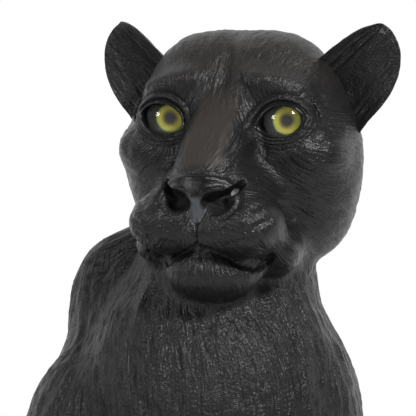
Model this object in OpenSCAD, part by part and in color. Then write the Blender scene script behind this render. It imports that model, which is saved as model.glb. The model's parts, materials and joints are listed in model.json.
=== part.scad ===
/* [Figure] */
// Height of the cast panther above the base board
figure_h = 288; // [270:1:310]
// Thickness of the casting's wall
wall = 6; // [5:0.5:7]
// Turn of the head about the upright, towards the figure's right
head_turn = 18; // [10:1:22]
// Sideways tilt of the head
head_tilt = 2; // [0:0.5:4]
// Thickness of an ear
ear_t = 5; // [4:0.5:7]

/* [Opening] */
// Width of the arch in the back
arch_w = 84; // [70:1:90]
// Height of the arch in the back
arch_h = 130; // [115:1:140]

/* [Eyes] */
// Radius of the domed front of a glass eye
eye_dome_r = 17; // [16.5:0.25:18]
// Radius of a glass eye at its rim
eye_rim_r = 14; // [13:0.25:14.5]
// Distance from the dome's centre forward to the flat back of the glass
eye_back = 8; // [7:0.25:9]
// Radius of the coloured iris
iris_r = 7.6; // [6.6:0.2:9.6]
// Radius of the round pupil
pupil_r = 2.6; // [2:0.2:3.6]
// Thickness of the iris and the pupil
iris_t = 0.8; // [0.6:0.1:1.2]
// Thickness of the seat that carries the iris
seat_t = 3.8; // [3:0.1:5]
// Thickness of the ring that holds the seat in its bore
ring_t = 3; // [2:0.1:4]

/* [Base] */
// Width of the base board
board_w = 264; // [240:1:280]
// Depth of the base board
board_d = 206; // [190:1:220]
// Thickness of the base board
board_t = 18; // [17:0.5:22]
// Corner radius of the base board
board_corner = 60; // [30:1:80]
// Size of the bevel round the top edge of the board
board_bevel = 4; // [2:0.5:6]
// Thickness of the felt under the board
felt_t = 2; // [1:0.5:3]

/* [Bulb] */
// Diameter of the bulb's glass globe
globe_d = 48; // [42:1:52]
// Length of the bulb from its tip to its top
bulb_l = 89; // [84:1:96]
// Diameter of the bulb's screw cap
cap_d = 26; // [25.5:0.1:26.5]
// Length of the bulb's screw cap
cap_l = 24; // [21:0.5:26]
// Pitch of the bulb's thread
bulb_pitch = 3.63; // [3.5:0.01:3.7]
// Thickness of the bulb's glass
glass_t = 1; // [0.8:0.1:1.4]

/* [Socket] */
// Diameter of the threaded lamp pipe
pipe_d = 10; // [9.5:0.1:11]
// Diameter of the wire way through the pipe
pipe_bore = 6.6; // [5.5:0.1:7]
// Height of the brass sleeve between the board and the socket
sleeve_h = 22; // [18:1:30]
// Outer diameter of the socket's brass shell
socket_d = 33; // [32.6:0.1:35]
// Height of the socket's cap
socket_cap_h = 20; // [18:0.5:24]
// Height of the socket's shell above its cap
socket_shell_h = 38; // [36:0.5:42]
// Thickness of the socket's sheet brass
sheet = 0.7; // [0.5:0.1:0.9]
// Diameter of the switch shaft
shaft_d = 4; // [3.5:0.1:5]
// Diameter of the switch knob
knob_d = 13; // [11:0.5:16]
// Length of the switch knob
knob_l = 12; // [9:0.5:15]

/* [Fasteners] */
// Shank diameter of the screws that hold the figure
screw_d = 4; // [3.5:0.1:5]
// Length of those screws under the head
screw_l = 26; // [22:0.5:30]
// Head diameter of those screws
screw_head_d = 8; // [7:0.1:9]
// Width across the flats of the pipe's nuts
nut_af = 15; // [14:0.5:18]
// Thickness of the pipe's nuts
nut_t = 3; // [2.5:0.1:4]
// Diameter of the pipe's washers
washer_d = 24; // [20:0.5:28]
// Thickness of the pipe's washers
washer_t = 1.2; // [1:0.1:2]

/* [Cord inlet] */
// Diameter of the cord hole through the bushing
cord_d = 6.2; // [5:0.1:7]
// Length of the bushing
bushing_l = 12; // [10:0.5:16]

/* [Fits] */
// Radial clearance of a part that sits in a bore
fit = 0.1; // [0.05:0.01:0.15]
// Radial clearance of a shaft that turns in a bore
run = 0.06; // [0.04:0.01:0.1]
// Gap between parts that move past each other
gap = 0.3; // [0.2:0.05:0.5]

/* [Hidden] */

left = 1;
right = -1;
deck_z = felt_t + board_t;

// The figure's forms: what is added or carved, centre, radii, turn about X, Y and Z, softness
ADD = 1;
CARVE = -1;
FORM_H = 288;
form_scale = figure_h / FORM_H;
HEAD_AT = [35.5, 4, 217];
head_at = form_scale * HEAD_AT;

// The head's forms, in the head's own frame, mirrored about its middle plane
HEAD_FORMS = [
  [ADD, [0, 12, 6], [61, 70, 60], [0, 0, 0], 1],         // skull
  [ADD, [22, -14, 28], [36, 40, 34], [0, 0, 0], 20],     // forehead
  [ADD, [41, -8, -14], [35, 44, 40], [0, 0, 0], 22],     // cheek
  [ADD, [38, 6, -44], [29, 38, 34], [0, 0, 0], 20],      // ruff under the cheek
  [ADD, [0, -60, -42], [37, 40, 28], [0, 0, 0], 18],     // muzzle
  [ADD, [0, -66, -3], [19, 42, 14], [40, 0, 0], 14],     // bridge of the nose
  [ADD, [0, -86, -37], [17, 17, 12], [0, 0, 0], 9],      // nose
  [ADD, [17, -80, -38], [8, 9, 9], [0, 0, 0], 7],        // wing of the nose
  [ADD, [23, -77, -56], [25, 27, 20], [0, 0, 22], 9],    // whisker pad
  [ADD, [0, -88, -62], [15, 12, 9], [0, 0, 0], 10],      // upper lip
  [ADD, [0, -64, -85], [28, 26, 18], [0, 0, 0], 6],      // chin
  [ADD, [29, -32, -71], [17, 38, 16], [0, 0, 25], 14],   // jaw
  [ADD, [51, -38, -10], [20, 18, 11], [0, 0, 20], 14],   // cheekbone
  [ADD, [33, -50, 31], [20, 11, 7], [0, 10, 14], 10],    // brow
  [CARVE, [36, -72, 10], [17, 14, 12], [0, 0, 10], 10],  // orbit
  [ADD, [38, -43, 9], [20, 19.5, 18.5], [0, 0, 0], 7]    // eyelids
];
// The body's forms, in the figure's frame
BODY_FORMS = [
  [ADD, [24, 28, 145], [56, 54, 95], [0, 8, 0], 1],      // neck
  [ADD, [12, 6, 46], [84, 76, 100], [0, 0, 0], 30],      // chest
  [ADD, [74, 22, 26], [37, 50, 66], [0, 0, 0], 22],      // left shoulder
  [ADD, [-72, 22, 14], [38, 52, 64], [0, 0, 0], 24],     // right shoulder
  [ADD, [-46, 46, 100], [36, 38, 54], [0, 0, 0], 24]     // withers
];
NECK_BLEND = 14;
MIRROR_SOFT = 3;
HOLLOW_HEAD_FORMS = 5;
HOLLOW_BODY_FORMS = 5;
EYE_AT = [38, -43, 9];
EYE_OPENING_AT = [39, -62, 9];
EYE_OPENING = [14.5, 14, 9];

// The rays that find the skin start on a path up the neck and into the head
RAY_LOW = [-8, 20, 130];
RAY_HEAD = [0, -28, -8];
RAY_TURNOVER = [-50, 10];
RAY_START = 160;
RAY_STEPS = 14;
SKIN_COLUMNS = 56;
SKIN_ROWS = 58;
CAVITY_COLUMNS = 30;
CAVITY_ROWS = 24;
FRONT_ANGLE = -112;
FRONT_PULL = 18;
NECK_ANGLE = -22;
CROWN_ANGLE = 85;
BODY_ROWS_SHARE = 0.34;

// The ear: root, direction of growth, direction it faces, in the head's frame
EAR_AT = [57, 2, 30];
EAR_UP = [0.60, -0.10, 0.79];
EAR_FACE = [0.45, -0.88, 0];
EAR_H = 54;
EAR_OUTER = 30;
EAR_INNER = 27;
EAR_CUP = 16;
EAR_ROOT = -0.3;
EAR_ROWS = 11;
EAR_COLUMNS = 20;

// Where the hardware stands
lamp_at = [16, 26, 0];
pipe_r = pipe_d / 2;
nut_pocket_d = washer_d + 6;
nut_pocket_h = board_t - 7;
channel_z = felt_t + board_t / 2 - 2;
channel_d = cord_d + 1.8;
bushing_d = cord_d + 4;
bushing_flange_d = cord_d + 8;
bushing_flange_t = 2;
bushing_y = board_d / 2 - bushing_flange_t;
sleeve_z = deck_z + washer_t + nut_t;
cap_z = sleeve_z + sleeve_h;
shell_z = cap_z + socket_cap_h;
socket_top = shell_z + socket_shell_h;
screw_at = form_scale * [[-97, 20], [97, 20], [-20, -41], [47, -40]];
boss_d = 20;
boss_h = 24;
boss_sink = 20;
socket_tube = 40;
socket_wall = 5;
pocket_run = 60;
screw_head_h = 2.6;
screw_sink = deck_z - felt_t + boss_h - 5 - screw_l;

// The socket, from the bulb's tip down and from its axis out
cap_r = cap_d / 2;
sleeve_in_r = cap_r + 2 * gap / 3;
sleeve_r = sleeve_in_r + 0.5;
shell_r = socket_d / 2;
liner_r = shell_r - sheet - fit;
liner_t = 1.2;
body_r = liner_r - liner_t - fit;
cap_wall_r = shell_r + fit + sheet;
body_z = cap_z + 12;
body_top = shell_z + 15;
terminal_r = 1.5;
terminal_l = 7;
contact_z = body_top - 1.5;
contact_t = 0.8;
tip_z = body_top + 1;
tip_r = 4.5;
tip_t = 1.5;
cap_bottom = tip_z + tip_t + 3;
cap_top = tip_z + cap_l;
cap_t = 0.5;
globe_r = globe_d / 2;
globe_z = tip_z + bulb_l - globe_r;
neck_r = cap_r - cap_t - fit;
shoulder_r = 14;
glass_z = cap_top - 12;
stem_h = 22;
lead_h = 18;
lead_at = 1.5;
lead_r = 0.4;
filament_r = 9;
coil_r = 0.6;
knob_z = shell_z + 7;
knob_from = shell_r + 4;

$fn = 48;

// ---- The figure's field: negative inside, about the distance in millimetres outside
function turn_x(a) = [[1, 0, 0], [0, cos(a), -sin(a)], [0, sin(a), cos(a)]];
function turn_y(a) = [[cos(a), 0, sin(a)], [0, 1, 0], [-sin(a), 0, cos(a)]];
function turn_z(a) = [[cos(a), -sin(a), 0], [sin(a), cos(a), 0], [0, 0, 1]];
function turned(t) = turn_z(t.z) * turn_y(t.y) * turn_x(t.x);
function flipped(m) = [for (i = [0:2]) [for (j = [0:2]) m[j][i]]];
function over(a, b) = [a.x / b.x, a.y / b.y, a.z / b.z];

head_frame = turned([0, head_tilt, -head_turn]);
into_head = flipped(head_frame);
function in_figure(p) = head_at + form_scale * (head_frame * p);

function ready(forms) =
  [for (f = forms)
    [f[0], form_scale * f[1], form_scale * f[2], flipped(turned(f[3])), form_scale * f[4]]];
head_forms = ready(HEAD_FORMS);
body_forms = ready(BODY_FORMS);

function ellipsoid(q, r) =
  let (a = over(q, r), n = norm(a)) n * (n - 1) / (norm(over(a, r)) + 1e-9);
function form(f, q) = ellipsoid(f[3] * (q - f[1]), f[2]);
function soft_min(a, b, k) = let (h = max(k - abs(a - b), 0)) min(a, b) - h * h / (4 * k);
function blended(forms, q, count, d, i = 1) =
  i >= count ? d
  : let (f = forms[i], e = form(f, q))
    blended(forms, q, count, f[0] == ADD ? soft_min(d, e, f[4]) : -soft_min(-d, e, f[4]), i + 1);
function head_side(q) = [sqrt(q.x * q.x + MIRROR_SOFT * MIRROR_SOFT) - MIRROR_SOFT / 2, q.y, q.z];
function field(p, heads, bodies) =
  let (q = head_side(into_head * (p - head_at)),
       h = blended(head_forms, q, heads, form(head_forms[0], q)),
       b = blended(body_forms, p, bodies, form(body_forms[0], p)))
  soft_min(h, b, form_scale * NECK_BLEND);

// ---- Rays that march in from outside until they meet the skin, or lie depth below it
function march(o, d, t, steps, depth, heads, bodies) =
  steps == 0 ? o + t * d
  : march(o, d, max(1, t - 0.92 * (field(o + t * d, heads, bodies) + depth)), steps - 1,
          depth, heads, bodies);
function eased(s) = s * s * (3 - 2 * s);
function ray_from(e) =
  let (s = min(max((e - RAY_TURNOVER[0]) / (RAY_TURNOVER[1] - RAY_TURNOVER[0]), 0), 1))
  form_scale * RAY_LOW * (1 - eased(s)) + in_figure(RAY_HEAD) * eased(s);
function ray_dir(a, e) = [cos(e) * cos(a), cos(e) * sin(a), sin(e)];
function column_angle(i, columns) =
  let (a = 360 * i / columns) a - FRONT_PULL * sin(a) + FRONT_ANGLE;
function ring_at_floor(columns, z, depth, heads, bodies) =
  [for (i = [0:columns - 1])
    march([form_scale * RAY_LOW.x, form_scale * RAY_LOW.y, z], ray_dir(column_angle(i, columns), 0),
          form_scale * RAY_START, RAY_STEPS, depth, heads, bodies)];
function row_angle(j, rows, floor_angle) =
  let (t = j / (rows - 1), s = (t - BODY_ROWS_SHARE) / (1 - BODY_ROWS_SHARE))
  s < 0 ? floor_angle + (NECK_ANGLE - floor_angle) * t / BODY_ROWS_SHARE
  : NECK_ANGLE + (CROWN_ANGLE - NECK_ANGLE) * s;
function skin_rows(columns, rows, floor, depth, heads, bodies) =
  [for (j = [1:rows - 1], i = [0:columns - 1])
    let (start = form_scale * RAY_LOW,
         out = norm([floor[i].x - start.x, floor[i].y - start.y]),
         e = row_angle(j, rows, atan2(floor[i].z - start.z, out)))
    march(ray_from(e), ray_dir(column_angle(i, columns), e), form_scale * RAY_START, RAY_STEPS,
          depth, heads, bodies)];

// Triangles of a tube of rings, closed by a fan at each end
function ring_faces(columns, rows) = [
  for (j = [0:rows - 2], i = [0:columns - 1])
    let (a = j * columns + i, b = j * columns + (i + 1) % columns)
    each [[a, b + columns, b], [a, a + columns, b + columns]]
];
function end_faces(columns, rows) =
  let (low = columns * rows, high = low + 1, last = columns * (rows - 1))
  [for (i = [0:columns - 1])
    let (k = (i + 1) % columns)
    each [[low, i, k], [high, last + k, last + i]]];
function middle(points) = [for (p = points) 1] * points / len(points);

module skin(columns, rows, z, depth, heads, bodies) {
  floor = ring_at_floor(columns, z, depth, heads, bodies);
  upper = skin_rows(columns, rows, floor, depth, heads, bodies);
  crown = [for (i = [1:columns]) upper[len(upper) - i]];
  polyhedron(
    points = concat(floor, upper, [middle(floor), middle(crown)]),
    faces = concat(ring_faces(columns, rows), end_faces(columns, rows))
  );
}

// A cupped leaf: rows run up the ear, columns run round its thin section
function ear_point(s, a) =
  let (up = EAR_UP / norm(EAR_UP),
       raw = EAR_FACE - up * (up * EAR_FACE),
       face = raw / norm(raw),
       across = cross(up, face),
       t = min(max(s, 0), 1),
       outer = EAR_OUTER * sqrt(1 - pow(t, 2.6)) * (1 - 0.15 * pow(1 - t, 2)),
       inner = EAR_INNER * pow(1 - t, 0.75) + 8 * t * sqrt(1 - pow(t, 3)),
       width = (outer + inner) / 2,
       thick = ear_t * min(width / 12, 1),
       cup = EAR_CUP * (0.55 + 0.45 * (1 - s)) * pow(cos(a), 2) * min(width / 24, 1))
  EAR_AT + up * (s * EAR_H) + across * ((cos(a) > 0 ? outer : inner) * cos(a))
  + face * (cup + thick / 2 * sign(sin(a)) * pow(abs(sin(a)), 0.6));

module ear(side) {
  rim = 0.985;
  points = [for (j = [0:EAR_ROWS - 1], i = [0:EAR_COLUMNS - 1])
    let (s = EAR_ROOT + (rim - EAR_ROOT) * j / (EAR_ROWS - 1),
         p = ear_point(s, -side * 360 * i / EAR_COLUMNS))
    in_figure([side * p.x, p.y, p.z])];
  root = [for (i = [0:EAR_COLUMNS - 1]) points[i]];
  tip = [for (i = [1:EAR_COLUMNS]) points[len(points) - i]];
  polyhedron(
    points = concat(points, [middle(root), middle(tip)]),
    faces = concat(ring_faces(EAR_COLUMNS, EAR_ROWS), end_faces(EAR_COLUMNS, EAR_ROWS))
  );
}

// ---- Places on the figure
function eye_place(side) = in_figure([side * EYE_AT.x, EYE_AT.y, EYE_AT.z]);

// Puts a piece, drawn along +Z from the dome's centre, on its eye looking straight ahead
module at_eye(side) {
  translate([0, 0, deck_z] + eye_place(side)) rotate([90, 0, 0]) children();
}

// Outline of the glass, grown by a clearance, with its flat back at the given height
module eye_outline(grow, back) {
  intersection() {
    circle(eye_dome_r + grow, $fn = 64);
    translate([0, back]) square([eye_rim_r + grow, eye_dome_r + grow - back]);
  }
}

// The bore that the eye goes into from inside the head, up to the backs of the eyelids
module eye_pocket(side) {
  at_eye(side) rotate_extrude($fn = 36) intersection() {
    translate([0, -pocket_run]) square([eye_rim_r + fit, pocket_run + eye_dome_r + fit]);
    union() {
      circle(eye_dome_r + fit, $fn = 48);
      translate([0, -pocket_run]) square([eye_rim_r + fit, pocket_run + eye_back]);
    }
  }
}

module eye_opening(side) {
  at = in_figure([side * EYE_OPENING_AT.x, EYE_OPENING_AT.y, EYE_OPENING_AT.z]);
  translate([0, 0, deck_z] + at) rotate([0, head_tilt, -head_turn])
    rotate([0, -8 * side, 10 * side]) scale(EYE_OPENING) sphere(1, $fn = 20);
}

module rear_arch() {
  spring = arch_h - arch_w / 2;
  translate([lamp_at.x, lamp_at.y + globe_r, deck_z]) rotate([90, 0, 180]) linear_extrude(board_d / 2) {
    translate([0, spring]) circle(d = arch_w, $fn = 32);
    translate([-arch_w / 2, -1]) square([arch_w, spring + 1]);
  }
}

module bosses() {
  for (p = screw_at) translate([p.x, p.y, deck_z - boss_sink])
    cylinder(d = boss_d, h = boss_h + boss_sink, $fn = 20);
  for (side = [left, right]) at_eye(side) translate([0, 0, eye_back - seat_t - ring_t])
    cylinder(r = eye_rim_r + socket_wall, h = socket_tube, $fn = 28);
}

module screw_holes(d, z, h) {
  for (p = screw_at) translate([p.x, p.y, z]) cylinder(d = d, h = h, $fn = 24);
}

module panther_shell() {
  color("#1b1c1f")
  // One skin for the whole casting
  minkowski() {
    difference() {
      union() {
        translate([0, 0, deck_z])
          skin(SKIN_COLUMNS, SKIN_ROWS, 0, 0, len(HEAD_FORMS), len(BODY_FORMS));
        for (side = [left, right]) translate([0, 0, deck_z]) ear(side);
      }
      difference() {
        translate([0, 0, deck_z])
          skin(CAVITY_COLUMNS, CAVITY_ROWS, -5, wall, HOLLOW_HEAD_FORMS, HOLLOW_BODY_FORMS);
        bosses();
      }
      for (side = [left, right]) {
        eye_pocket(side);
        eye_opening(side);
      }
      rear_arch();
      screw_holes(screw_d + 2 * fit, deck_z - 1, boss_h - 3);
    }
  }
}

// ---- Eyes
module eye_glass(side) {
  color("#c9cf9a", 0.5) at_eye(side) rotate_extrude($fn = 64) eye_outline(0, eye_back);
}
module iris(side) {
  color("#9c9620") at_eye(side) translate([0, 0, eye_back - iris_t]) difference() {
    cylinder(r = iris_r, h = iris_t);
    translate([0, 0, -1]) cylinder(r = pupil_r, h = iris_t + 2);
  }
}
module pupil(side) {
  color("#050505") at_eye(side) translate([0, 0, eye_back - iris_t]) cylinder(r = pupil_r, h = iris_t);
}
module eye_seat(side) {
  color("#101010") at_eye(side) translate([0, 0, eye_back - seat_t]) difference() {
    cylinder(r = eye_rim_r, h = seat_t);
    translate([0, 0, -1]) cylinder(r = iris_r - 1.2, h = seat_t + 2);
    translate([0, 0, seat_t - iris_t]) cylinder(r = iris_r, h = iris_t + 1);
  }
}
module eye_ring(side) {
  color("#b08d4a") at_eye(side) translate([0, 0, eye_back - seat_t - ring_t]) difference() {
    cylinder(r = eye_rim_r, h = ring_t);
    translate([0, 0, -1]) cylinder(r = eye_rim_r - 3.5, h = ring_t + 2);
  }
}

// ---- Base
module board_outline(inset) {
  r = board_corner - inset;
  x = board_w / 2 - board_corner;
  y = board_d / 2 - board_corner;
  for (sx = [-1, 1], sy = [-1, 1]) translate([sx * x, sy * y]) circle(r);
  square([2 * x, 2 * (y + r)], center = true);
  square([2 * (x + r), 2 * y], center = true);
}
module base_board() {
  steps = 4;
  color("#241710") difference() {
    union() {
      translate([0, 0, felt_t]) linear_extrude(board_t - board_bevel) board_outline(0);
      // The rounded top edge, as a stack of thin slices
      for (i = [1:steps])
        translate([0, 0, deck_z - board_bevel + board_bevel * (i - 1) / steps])
          linear_extrude(board_bevel / steps) board_outline(board_bevel * (1 - cos(90 * i / steps)));
    }
    translate(lamp_at) {
      cylinder(r = pipe_r + fit, h = 60);
      translate([0, 0, felt_t - 1]) cylinder(d = nut_pocket_d, h = nut_pocket_h + 1);
      translate([0, 0, channel_z]) rotate([-90, 0, 0]) cylinder(d = channel_d, h = board_d);
    }
    translate([lamp_at.x, bushing_y, channel_z]) rotate([-90, 0, 0]) {
      translate([0, 0, -bushing_l]) cylinder(d = bushing_d + 2 * fit, h = board_d);
      cylinder(d = bushing_flange_d + 2 * fit, h = board_d);
    }
    screw_holes(screw_d + 1, 0, deck_z + 1);
    screw_holes(screw_head_d + 1, felt_t - 1, screw_sink + 1);
  }
}
module base_felt() {
  color("#1d3a2c") linear_extrude(felt_t) board_outline(2);
}

// ---- Screws
module shell_screws() {
  color("#b8b4a8") for (p = screw_at) translate([p.x, p.y, felt_t + screw_sink]) {
    cylinder(d = screw_d, h = screw_l);
    translate([0, 0, -screw_head_h]) difference() {
      cylinder(d = screw_head_d, h = screw_head_h);
      translate([-screw_head_d, -0.5, -1]) cube([2 * screw_head_d, 1, 2]);
    }
  }
}

// ---- Lamp pipe and its fittings
module pipe_place() {
  translate(lamp_at) children();
}
pipe_from = felt_t + 4;
pipe_to = cap_z + 9;
module lamp_pipe() {
  color("#b59a5c") pipe_place() translate([0, 0, pipe_from]) difference() {
    cylinder(r = pipe_r, h = pipe_to - pipe_from);
    translate([0, 0, -1]) cylinder(d = pipe_bore, h = pipe_to - pipe_from + 2);
  }
}
nut_low_z = felt_t + nut_pocket_h - washer_t - nut_t;
module pipe_locknuts() {
  color("#b8b4a8") pipe_place() for (z = [nut_low_z, deck_z + washer_t])
    translate([0, 0, z]) difference() {
      cylinder(d = nut_af / cos(30), h = nut_t, $fn = 6);
      translate([0, 0, -1]) cylinder(r = pipe_r + fit, h = nut_t + 2);
    }
}
module pipe_washers() {
  color("#8d8a80") pipe_place() for (z = [felt_t + nut_pocket_h - washer_t, deck_z])
    translate([0, 0, z]) difference() {
      cylinder(d = washer_d, h = washer_t);
      translate([0, 0, -1]) cylinder(r = pipe_r + fit, h = washer_t + 2);
    }
}
module stem_sleeve() {
  bead = 1.2;
  color("#b08d4a") pipe_place() translate([0, 0, sleeve_z]) rotate_extrude() difference() {
    union() {
      square([pipe_r + 2.5, sleeve_h]);
      for (z = [bead, sleeve_h - bead]) translate([pipe_r + 2.5, z]) circle(bead, $fn = 24);
    }
    translate([-10, -1]) square([pipe_r + fit + 10, sleeve_h + 2]);
  }
}

// ---- Socket
module socket_cap() {
  neck = pipe_r + 2.2;
  low = 6;
  color("#b08d4a") pipe_place() translate([0, 0, cap_z]) rotate_extrude() difference() {
    polygon([
      [pipe_r + fit, 0], [neck, 0], [neck, low - 2], [cap_wall_r - 3, low], [cap_wall_r, low + 4],
      [cap_wall_r, socket_cap_h + 3], [pipe_r + fit, socket_cap_h + 3]
    ]);
    polygon([
      [pipe_r + 1, low], [cap_wall_r - 4, low + sheet], [shell_r + fit, low + 5],
      [shell_r + fit, socket_cap_h + 4], [pipe_r + 1, socket_cap_h + 4]
    ]);
    translate([0, low]) square([pipe_r + 1.001, socket_cap_h]);
  }
}
module switch_hole(r) {
  translate([0, 0, knob_z]) rotate([-90, 0, 0]) cylinder(r = r, h = 3 * shell_r);
}
module socket_shell() {
  z = cap_z + socket_cap_h - 6;
  bead = 1;
  color("#b08d4a") pipe_place() difference() {
    rotate_extrude() {
      translate([shell_r - sheet, z]) square([sheet, socket_top - z]);
      translate([shell_r - bead, socket_top]) circle(bead, $fn = 24);
    }
    switch_hole(shaft_d / 2 + 1);
  }
}
module socket_liner() {
  z = cap_z + socket_cap_h - 6;
  color("#6b5a44") pipe_place() difference() {
    translate([0, 0, z]) cylinder(r = liner_r, h = socket_top - 2 - z);
    translate([0, 0, z - 1]) cylinder(r = liner_r - liner_t, h = socket_shell_h + 20);
    switch_hole(shaft_d / 2 + 1);
  }
}
module socket_body() {
  seat = 4.5;
  color("#1c1a18") pipe_place() difference() {
    translate([0, 0, body_z]) cylinder(r = body_r, h = body_top - body_z);
    translate([0, 0, contact_z]) cylinder(r = seat + 1, h = 10);
    switch_hole(shaft_d / 2 + run);
    for (side = [left, right]) translate([side * (body_r - 3), 0, body_z - 1])
      cylinder(r = terminal_r + fit, h = terminal_l + 1 + gap, $fn = 24);
  }
}
module screw_sleeve() {
  lip = 2.5;
  color("#c2a05a") pipe_place() translate([0, 0, body_top]) difference() {
    cylinder(r = sleeve_r, h = socket_top - 5 - body_top);
    translate([0, 0, 0.5]) cylinder(r = sleeve_in_r, h = socket_shell_h);
    translate([0, 0, -1]) cylinder(r = sleeve_in_r - lip, h = 3);
  }
}
module center_contact() {
  color("#c2a05a") pipe_place() translate([0, 0, contact_z]) {
    cylinder(r = 4.5, h = contact_t);
    cylinder(r = 2.5, h = tip_z - gap - contact_z);
  }
}
module terminal_screws() {
  head_t = 2;
  color("#c9b98a") pipe_place() for (side = [left, right])
    translate([side * (body_r - 3), 0, body_z]) {
      cylinder(r = terminal_r, h = terminal_l, $fn = 24);
      translate([0, 0, -head_t]) difference() {
        cylinder(r = 2.6, h = head_t, $fn = 32);
        translate([-4, -0.35, -1]) cube([8, 0.7, 1.8]);
      }
    }
}
module switch_shaft() {
  color("#b8b4a8") pipe_place() translate([0, 3, knob_z]) rotate([-90, 0, 0])
    cylinder(d = shaft_d, h = knob_from + knob_l - 6);
}
module switch_knob() {
  flutes = 12;
  color("#1c1a18") pipe_place() translate([0, knob_from, knob_z]) rotate([-90, 0, 0]) difference() {
    rotate_extrude() {
      square([knob_d / 2, knob_l - 1.5]);
      square([knob_d / 2 - 1.5, knob_l]);
      translate([knob_d / 2 - 1.5, knob_l - 1.5]) circle(1.5, $fn = 24);
    }
    for (i = [0:flutes - 1]) rotate(360 * i / flutes)
      translate([knob_d / 2 + 0.5, 0, 2]) cylinder(r = 1.1, h = knob_l, $fn = 24);
    translate([0, 0, -1]) cylinder(d = shaft_d + 2 * fit, h = knob_l - 2);
  }
}

// ---- Bulb
// Half the bulb's outline, thinned by t: globe, rounded shoulder and neck
module bulb_outline(t) {
  r = globe_r - t;
  neck = neck_r - t;
  bend = shoulder_r + t;
  drop = sqrt(pow(r + bend, 2) - pow(neck + bend, 2));
  shoulder = globe_z - drop;
  meet = [(neck + bend) * r / (r + bend), globe_z - drop * r / (r + bend)];
  difference() {
    intersection() {
      union() {
        translate([0, globe_z]) circle(r, $fn = 96);
        translate([0, glass_z - t]) square([neck, shoulder - glass_z + t]);
        polygon([[0, shoulder], [neck, shoulder], meet, [0, meet.y]]);
      }
      translate([0, glass_z - t]) square([2 * r, bulb_l]);
    }
    translate([neck + bend, shoulder]) circle(bend, $fn = 96);
  }
}
module bulb_glass() {
  color("#f2ead2", 0.5) translate(lamp_at) rotate_extrude($fn = 72) difference() {
    bulb_outline(0);
    bulb_outline(glass_t);
  }
}
module bulb_cap() {
  color("#c7b27a") translate(lamp_at) translate([0, 0, cap_bottom]) difference() {
    cylinder(r = cap_r, h = cap_top - cap_bottom);
    translate([0, 0, cap_t]) cylinder(r = cap_r - cap_t, h = cap_l);
    translate([0, 0, -1]) cylinder(r = cap_r - 5, h = 3);
  }
}
module bulb_insulator() {
  color("#151515") translate(lamp_at) rotate_extrude() polygon([
    [0, tip_z + tip_t], [tip_r + 1, tip_z + tip_t], [cap_r - 2, cap_bottom],
    [cap_r - 5 - fit, cap_bottom], [cap_r - 5 - fit, cap_bottom + 2], [0, cap_bottom + 2]
  ]);
}
module bulb_tip() {
  color("#9d9a92") translate(lamp_at) translate([0, 0, tip_z]) cylinder(r = tip_r, h = tip_t);
}
module bulb_stem() {
  flare = neck_r - glass_t - fit;
  color("#d8dccb", 0.5) translate(lamp_at) translate([0, 0, glass_z]) rotate_extrude() polygon([
    [0, 0], [flare, 0], [flare, 1.2], [6, 5], [3.5, 9], [3.5, stem_h - 3], [2.5, stem_h], [0, stem_h]
  ]);
}
module lead_wires() {
  color("#a9a69c") translate(lamp_at) for (side = [left, right])
    translate([0, 0, glass_z + stem_h]) multmatrix([
      [1, 0, side * (filament_r - lead_at) / lead_h, side * lead_at], [0, 1, 0, 0], [0, 0, 1, 0]
    ]) cylinder(r = lead_r, h = lead_h, $fn = 16);
}
module filament() {
  color("#77736b") translate(lamp_at) translate([0, 0, glass_z + stem_h + lead_h + coil_r])
    rotate_extrude(angle = 180, $fn = 48) translate([filament_r, 0]) circle(coil_r, $fn = 16);
}

// ---- Cord inlet
module cord_bushing() {
  color("#171717") translate([lamp_at.x, bushing_y, channel_z]) rotate([-90, 0, 0]) difference() {
    union() {
      translate([0, 0, -bushing_l]) cylinder(d = bushing_d, h = bushing_l);
      cylinder(d = bushing_flange_d, h = bushing_flange_t);
    }
    translate([0, 0, -bushing_l - 1]) cylinder(d = cord_d, h = bushing_l + 10);
  }
}

panther_shell();
eye_glass(left);  // eye_glass_left
eye_glass(right);  // eye_glass_right
iris(left);  // iris_left
iris(right);  // iris_right
pupil(left);  // pupil_left
pupil(right);  // pupil_right
eye_seat(left);  // eye_seat_left
eye_seat(right);  // eye_seat_right
eye_ring(left);  // eye_ring_left
eye_ring(right);  // eye_ring_right
base_board();
base_felt();
shell_screws();
lamp_pipe();
pipe_locknuts();
pipe_washers();
stem_sleeve();
socket_cap();
socket_shell();
socket_liner();
socket_body();
screw_sleeve();
center_contact();
terminal_screws();
switch_shaft();
switch_knob();
bulb_glass();
bulb_cap();
bulb_insulator();
bulb_tip();
bulb_stem();
lead_wires();
filament();
cord_bushing();
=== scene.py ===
"""A panther television lamp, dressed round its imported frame.

Sizes inside the classes are millimetres; meshes are written in metres. The figure is one scalar
field of blended ellipsoids, the same forms as the solids, and rays from inside it find the skin.
"""

import json
import logging
import math
from dataclasses import dataclass
from enum import Enum
from typing import Any, Callable, Iterable, Optional, Sequence

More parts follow.
